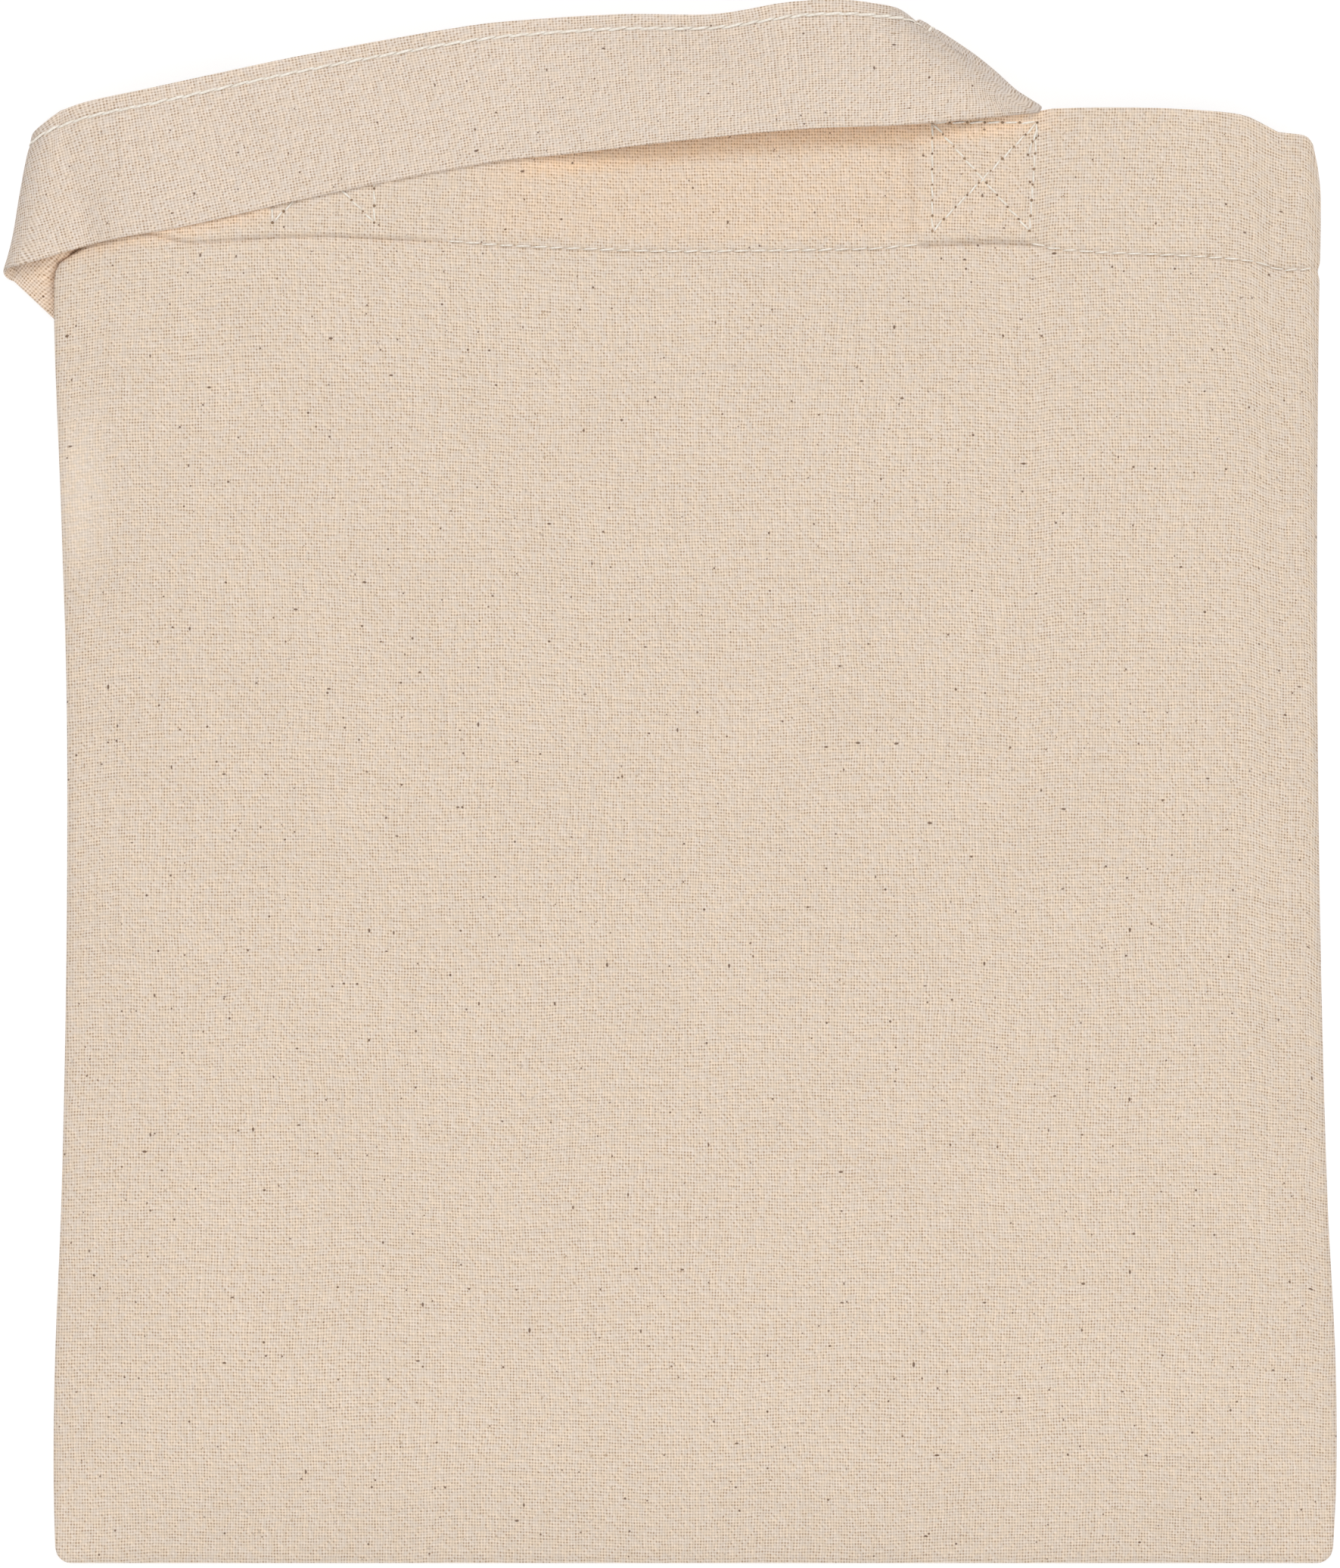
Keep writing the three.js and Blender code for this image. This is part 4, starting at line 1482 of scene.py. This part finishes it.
@dataclass
class BackHandle(Handle):
    """The handle that is folded down flat behind the bag as a loop with two mitred corners."""

    wrap_gap: float = 0.0005
    loop: float = 0.015
    left_leg: tuple[tuple[float, int], ...] = ((0.105, 2), (0.094, 3), (0.051, 3), (0.040, 2))
    right_leg: tuple[tuple[float, int], ...] = ((0.033, 2), (0.048, 1))

    def route(self) -> Rungs:
        """Left end, over the mouth's edge, down, along the loop's foot, up and over to the right end."""
        half = self.width / 2
        left = (LEFT_END.x - half, LEFT_END.x + half)
        right = (RIGHT_END.x + half, RIGHT_END.x - half)
        high = self.loop + half
        low = self.loop - half

        def level(edges: tuple[float, float], y: float, z: float) -> Array:
            """Row straight across a leg."""
            return self.row((edges[0], y, z), (edges[1], y, z))

        def corner(edges: tuple[float, float], layer: int) -> Array:
            """Row along a mitred corner."""
            z = self.on_floor(layer)
            return self.row((edges[0], high, z), (edges[1], low, z))

        seats = [self.seat(end, front=False) for end in (LEFT_END, RIGHT_END)]
        creases = []
        for end in (LEFT_END, RIGHT_END):
            edge = FORM.top(np.array(end.x))
            creases.append(float(edge - FORM.back_fall(np.array(end.x), edge)) + self.wrap_gap)
        root = level(left, LEFT_END.end, seats[0])
        wrap = level(left, creases[0], seats[0])
        wrapped = level(left, creases[0], self.on_floor(2))
        left_in = corner(left, 2)
        left_out = corner(left, 1)
        right_in = corner(right, 1)
        right_out = corner(right, 2)
        right_wrap = level(right, creases[1], self.on_floor(1))
        right_wrapped = level(right, creases[1], seats[1])
        end = level(right, RIGHT_END.end, seats[1])

        down = [wrapped, *(level(left, y, self.on_floor(n)) for y, n in self.left_leg), left_in]
        rise = [right_out, *(level(right, y, self.on_floor(n)) for y, n in self.right_leg), right_wrap]

        return Rungs.join(
            [
                self.run(root, wrap, 1.0),
                Rungs.single(wrap, 1.0),
                self.fold(wrap, wrapped, (0.0, 1.0), 1.0),
                *(self.run(a, b, -1.0) for a, b in zip(down[:-1], down[1:])),
                Rungs.single(left_in, -1.0),
                self.fold(left_in, left_out, (0.0, -1.0), -1.0),
                self.run(left_out, right_in, 1.0),
                Rungs.single(right_in, 1.0),
                self.fold(right_in, right_out, (1.0, 0.0), 1.0),
                *(self.run(a, b, -1.0) for a, b in zip(rise[:-1], rise[1:])),
                Rungs.single(right_wrap, -1.0),
                self.fold(right_wrap, right_wrapped, (0.0, 1.0), -1.0),
                self.run(right_wrapped, end, 1.0),
                Rungs.single(end, 1.0),
            ]
        )


@dataclass
class SeamLine:
    """A line on a cloth's surface that a row of stitches follows."""

    points: Array
    normals: Array

    def read(self, places: Array) -> tuple[Array, Array, Array]:
        """Points, normals and headings at distances along the line.

        Args:
            places: distances from the line's start, of any shape.

        Returns:
            Points, normals and headings, each with a last axis of three.
        """
        run = run_along(self.points)
        heading = np.gradient(self.points, axis=0) / np.maximum(np.gradient(run)[:, None], 1e-9)
        found = []
        for table in (self.points, self.normals, heading):
            found.append(np.stack([np.interp(places, run, column) for column in table.T], axis=-1))
        return found[0], unit(found[1]), unit(found[2])

    def length(self) -> float:
        """Length of the line."""
        return float(run_along(self.points)[-1])


@dataclass
class Sewing:
    """Rows of lockstitch: short arched threads with a needle hole between each and the next."""

    name: str
    pitch: float = 0.0032
    reach: float = 0.0031
    width: float = 0.00040
    height: float = 0.00026
    slant: float = 0.00012
    hole: float = 0.00026
    hole_rim: float = 0.00012
    hole_middle: float = 0.00016
    seed: int = 7
    around: int = 6
    stations: int = 6

    def threads(self, line: SeamLine, rng: np.random.Generator) -> tuple[Array, Array]:
        """Closed tubes: a ring carried along each stitch, thin at both ends, which dip into the cloth.

        Args:
            line: where the row runs.
            rng: source of small differences.

        Returns:
            Points and faces.
        """
        count = max(1, int(round(line.length() / self.pitch)))
        pitch = line.length() / count
        start = (np.arange(count) + 0.5) * pitch
        reach = self.reach * pitch / self.pitch * rng.uniform(0.94, 1.04, count)
        t = np.linspace(-1.0, 1.0, self.stations)
        points, normals, heading = line.read(start[:, None] + reach[:, None] / 2 * t)
        side = np.cross(normals, heading)
        taper = np.sqrt(np.clip(1.0 - (np.abs(t) * 0.97) ** 4, 0.0, 1.0))
        tilt = (self.slant + rng.normal(0.0, 0.00004, count))[:, None] * t
        arch = 0.00006 + self.height * 0.5 * (1.0 - 1.4 * t**2)
        centre = points + side * tilt[..., None] + normals * arch[None, :, None]
        angle = np.linspace(0.0, 2 * np.pi, self.around, endpoint=False)
        round_side = (np.cos(angle) * self.width / 2)[None, None, :, None]
        round_up = (np.sin(angle) * self.height / 2)[None, None, :, None]
        scale = taper[None, :, None, None]
        rings = centre[:, :, None] + scale * (side[:, :, None] * round_side + normals[:, :, None] * round_up)
        index = np.arange(count * self.stations * self.around).reshape(count, self.stations, self.around)
        after = np.roll(index, -1, axis=2)
        quads = np.stack([index[:, :-1], index[:, 1:], after[:, 1:], after[:, :-1]], axis=-1).reshape(-1, 4)
        caps = []
        for end, order in ((0, 1), (-1, -1)):
            ring = index[:, end][:, ::order]
            caps.append(np.stack([ring[:, 0], ring[:, 1], ring[:, 2], ring[:, 3]], axis=-1))
            caps.append(np.stack([ring[:, 0], ring[:, 3], ring[:, 4], ring[:, 5]], axis=-1))
        return rings.reshape(-1, 3), np.concatenate([quads, *caps])

    def holes(self, line: SeamLine, rng: np.random.Generator) -> tuple[Array, Array]:
        """Small dark discs where the needle went in: two rings of points, the inner one a little higher."""
        count = max(1, int(round(line.length() / self.pitch)))
        places = np.arange(count + 1) * line.length() / count
        points, normals, heading = line.read(places)
        side = np.cross(normals, heading)
        size = self.hole * rng.uniform(0.75, 1.2, count + 1)[:, None, None]
        angle = np.linspace(0.0, 2 * np.pi, 8, endpoint=False)[None, :, None]
        flat = heading[:, None] * np.cos(angle) + side[:, None] * np.sin(angle)
        outer = points[:, None] + flat * size + normals[:, None] * self.hole_rim
        inner = points[:, None] + flat * size * 0.6 + normals[:, None] * self.hole_middle
        rings = np.concatenate([outer, inner], axis=1)
        index = np.arange((count + 1) * 16).reshape(count + 1, 16)
        low = index[:, :8]
        high = index[:, 8:]
        band = np.stack([low, np.roll(low, -1, axis=1), np.roll(high, -1, axis=1), high], axis=-1)
        tops = [high[:, [0, 1, 2, 3]], high[:, [0, 3, 4, 7]], high[:, [4, 5, 6, 7]]]
        return rings.reshape(-1, 3), np.concatenate([band.reshape(-1, 4), *tops])

    def build(self, lines: list[SeamLine], with_holes: bool) -> Piece:
        """Joins the stitches of several rows, and their needle holes where they show, into one piece."""
        rng = np.random.default_rng(self.seed)
        points = []
        faces = []
        kinds = []
        first = 0
        for line in lines:
            makers = [self.threads, self.holes] if with_holes else [self.threads]
            for kind, maker in enumerate(makers):
                part, quads = maker(line, rng)
                points.append(part)
                faces.append(quads + first)
                kinds.append(np.full(len(quads), kind))
                first += len(part)
        piece = make_piece(self.name, np.concatenate(points), np.concatenate(faces), None)
        piece.data.materials.append(ThreadFinish().material())
        piece.data.materials.append(HoleFinish().material())
        piece.data.polygons.foreach_set("material_index", np.concatenate(kinds).astype(np.int32))
        return piece


@dataclass
class BodySewing:
    """Rows of stitches on the body: the hem's row, front and back, and the crossed boxes of the straps."""

    def on_front(self, x: Array, y: Array) -> SeamLine:
        """A line on the front panel above given places."""
        points = np.stack([x, y, FORM.front(x, y)], axis=-1)
        return SeamLine(points, np.broadcast_to(UP, points.shape))

    def on_back(self, x: Array, y: Array) -> SeamLine:
        """A line on the back panel below given places."""
        lift = 0.00045
        points = np.stack([x, y - FORM.back_fall(x, y), FORM.underside(x, y) + lift], axis=-1)
        return SeamLine(points, np.broadcast_to(-UP, points.shape))

    def hem(self) -> Piece:
        """The hem's row where it shows on the front, and all along the back."""
        lines = []
        for start, finish in ((-0.0425, 0.0475), (0.0690, 0.1235)):
            x = np.linspace(start, finish, 240)
            lines.append(self.on_front(x, FORM.hem(x) + 0.0001))
        x = np.linspace(-0.114, 0.122, 400)
        lines.append(self.on_back(x, FORM.hem(x)))
        return Sewing("hem_stitching", width=0.00036, seed=11).build(lines, with_holes=False)

    def boxes(self) -> Piece:
        """The crossed boxes of both strap ends on the front, with their needle holes."""
        lines = []
        share = np.linspace(0.0, 1.0, 60)
        for end in (LEFT_END, RIGHT_END):
            for (xa, ya), (xb, yb) in end.sides():
                lines.append(self.on_front(xa + (xb - xa) * share, ya + (yb - ya) * share))
        x = 0.0685 + 0.0018 * share
        lines.append(self.on_front(x, 0.1204 + 0.0050 * share))
        return Sewing("box_stitching", reach=0.0027, hole=0.00026, seed=5).build(lines, with_holes=True)


@dataclass
class Studio:
    """Plain pale floor, soft light from above and the mouth's side, and a camera straight above."""

    image_height: int = 2072
    pixel: float = 0.000145
    eye: float = 3.0
    plane: float = 0.008
    sensor: float = 36.0
    floor_half: float = 1.6
    floor_level: float = -0.0002
    key_strength: float = 1.15
    key_spread: float = 22.0
    key_lean: float = 47.0
    key_turn: float = 4.0
    fill_strength: float = 0.84
    fill_spread: float = 70.0
    fill_lean: float = -54.0
    over_strength: float = 1.0
    over_spread: float = 90.0
    sky: float = 0.40

    def floor(self) -> Piece:
        """A flat square just under the bag."""
        half = self.floor_half
        corners = [(-half, -half), (half, -half), (half, half), (-half, half)]
        mesh = bpy.data.meshes.new("studio_floor_plane")
        mesh.from_pydata([(x, y, self.floor_level) for x, y in corners], [], [(0, 1, 2, 3)])
        plane = bpy.data.objects.new("studio_floor_plane", mesh)
        plane.data.materials.append(FloorFinish().material())
        bpy.context.scene.collection.objects.link(plane)
        return plane

    def lights(self) -> None:
        """A soft lamp on the mouth's side, a weaker one opposite, a large one above and a pale sky."""
        for name, strength, spread, slope, turned in (
            ("key_light", self.key_strength, self.key_spread, self.key_lean, self.key_turn),
            ("fill_light", self.fill_strength, self.fill_spread, self.fill_lean, self.key_turn),
            ("over_light", self.over_strength, self.over_spread, 0.0, 0.0),
        ):
            lamp = bpy.data.lights.new(name, "SUN")
            lamp.energy = strength
            lamp.angle = math.radians(spread)
            lean = math.radians(slope)
            turn = math.radians(turned)
            holder = bpy.data.objects.new(name, lamp)
            aside = math.sin(lean)
            holder.location = (aside * math.sin(turn), aside * math.cos(turn), math.cos(lean))
            holder.rotation_euler = (-lean, 0.0, -turn)
            bpy.context.scene.collection.objects.link(holder)
        world = bpy.data.worlds.new("studio_sky")
        world.use_nodes = True
        world.node_tree.nodes["Background"].inputs["Color"].default_value = (1.0, 1.0, 1.0, 1.0)
        world.node_tree.nodes["Background"].inputs["Strength"].default_value = self.sky
        bpy.context.scene.world = world

    def camera(self) -> None:
        """Looks straight down: the lens makes the picture's height cover its real length at the bag."""
        eye = bpy.data.cameras.new("camera")
        eye.sensor_width = self.sensor
        eye.lens = self.sensor * self.eye / (self.image_height * self.pixel)
        eye.clip_end = 20.0
        holder = bpy.data.objects.new("camera", eye)
        holder.location = (0.0, 0.0, self.plane + self.eye)
        bpy.context.scene.collection.objects.link(holder)
        bpy.context.scene.camera = holder
        bpy.context.scene.view_settings.view_transform = "Standard"


def main() -> None:
    """Loads the frame and builds the pieces in order; the frame's parts stay in the scene, hidden."""
    logging.basicConfig(level=logging.INFO, format="%(name)s: %(message)s")
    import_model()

    studio = Studio()
    studio.floor()
    studio.lights()
    studio.camera()

    sewing = BodySewing()
    body = BagBody()
    cloth = body.build()
    body_stitches = [sewing.hem(), sewing.boxes()]
    body.dress(cloth, body_stitches)
    LOG.info("%s has %d faces", cloth.name, len(cloth.data.polygons))

    for handle in (
        FrontHandle("front_strap", "handle_front"),
        BackHandle("back_strap", "handle_back"),
    ):
        strap = handle.build()
        row = Sewing(f"{handle.name}_stitching", reach=0.0040, width=0.00056, slant=0.00020, seed=3)
        stitches = row.build(handle.seam_lines(), with_holes=False)
        handle.dress(strap, [stitches])
        LOG.info("%s has %d faces", strap.name, len(strap.data.polygons))


if __name__ == "__main__":
    main()
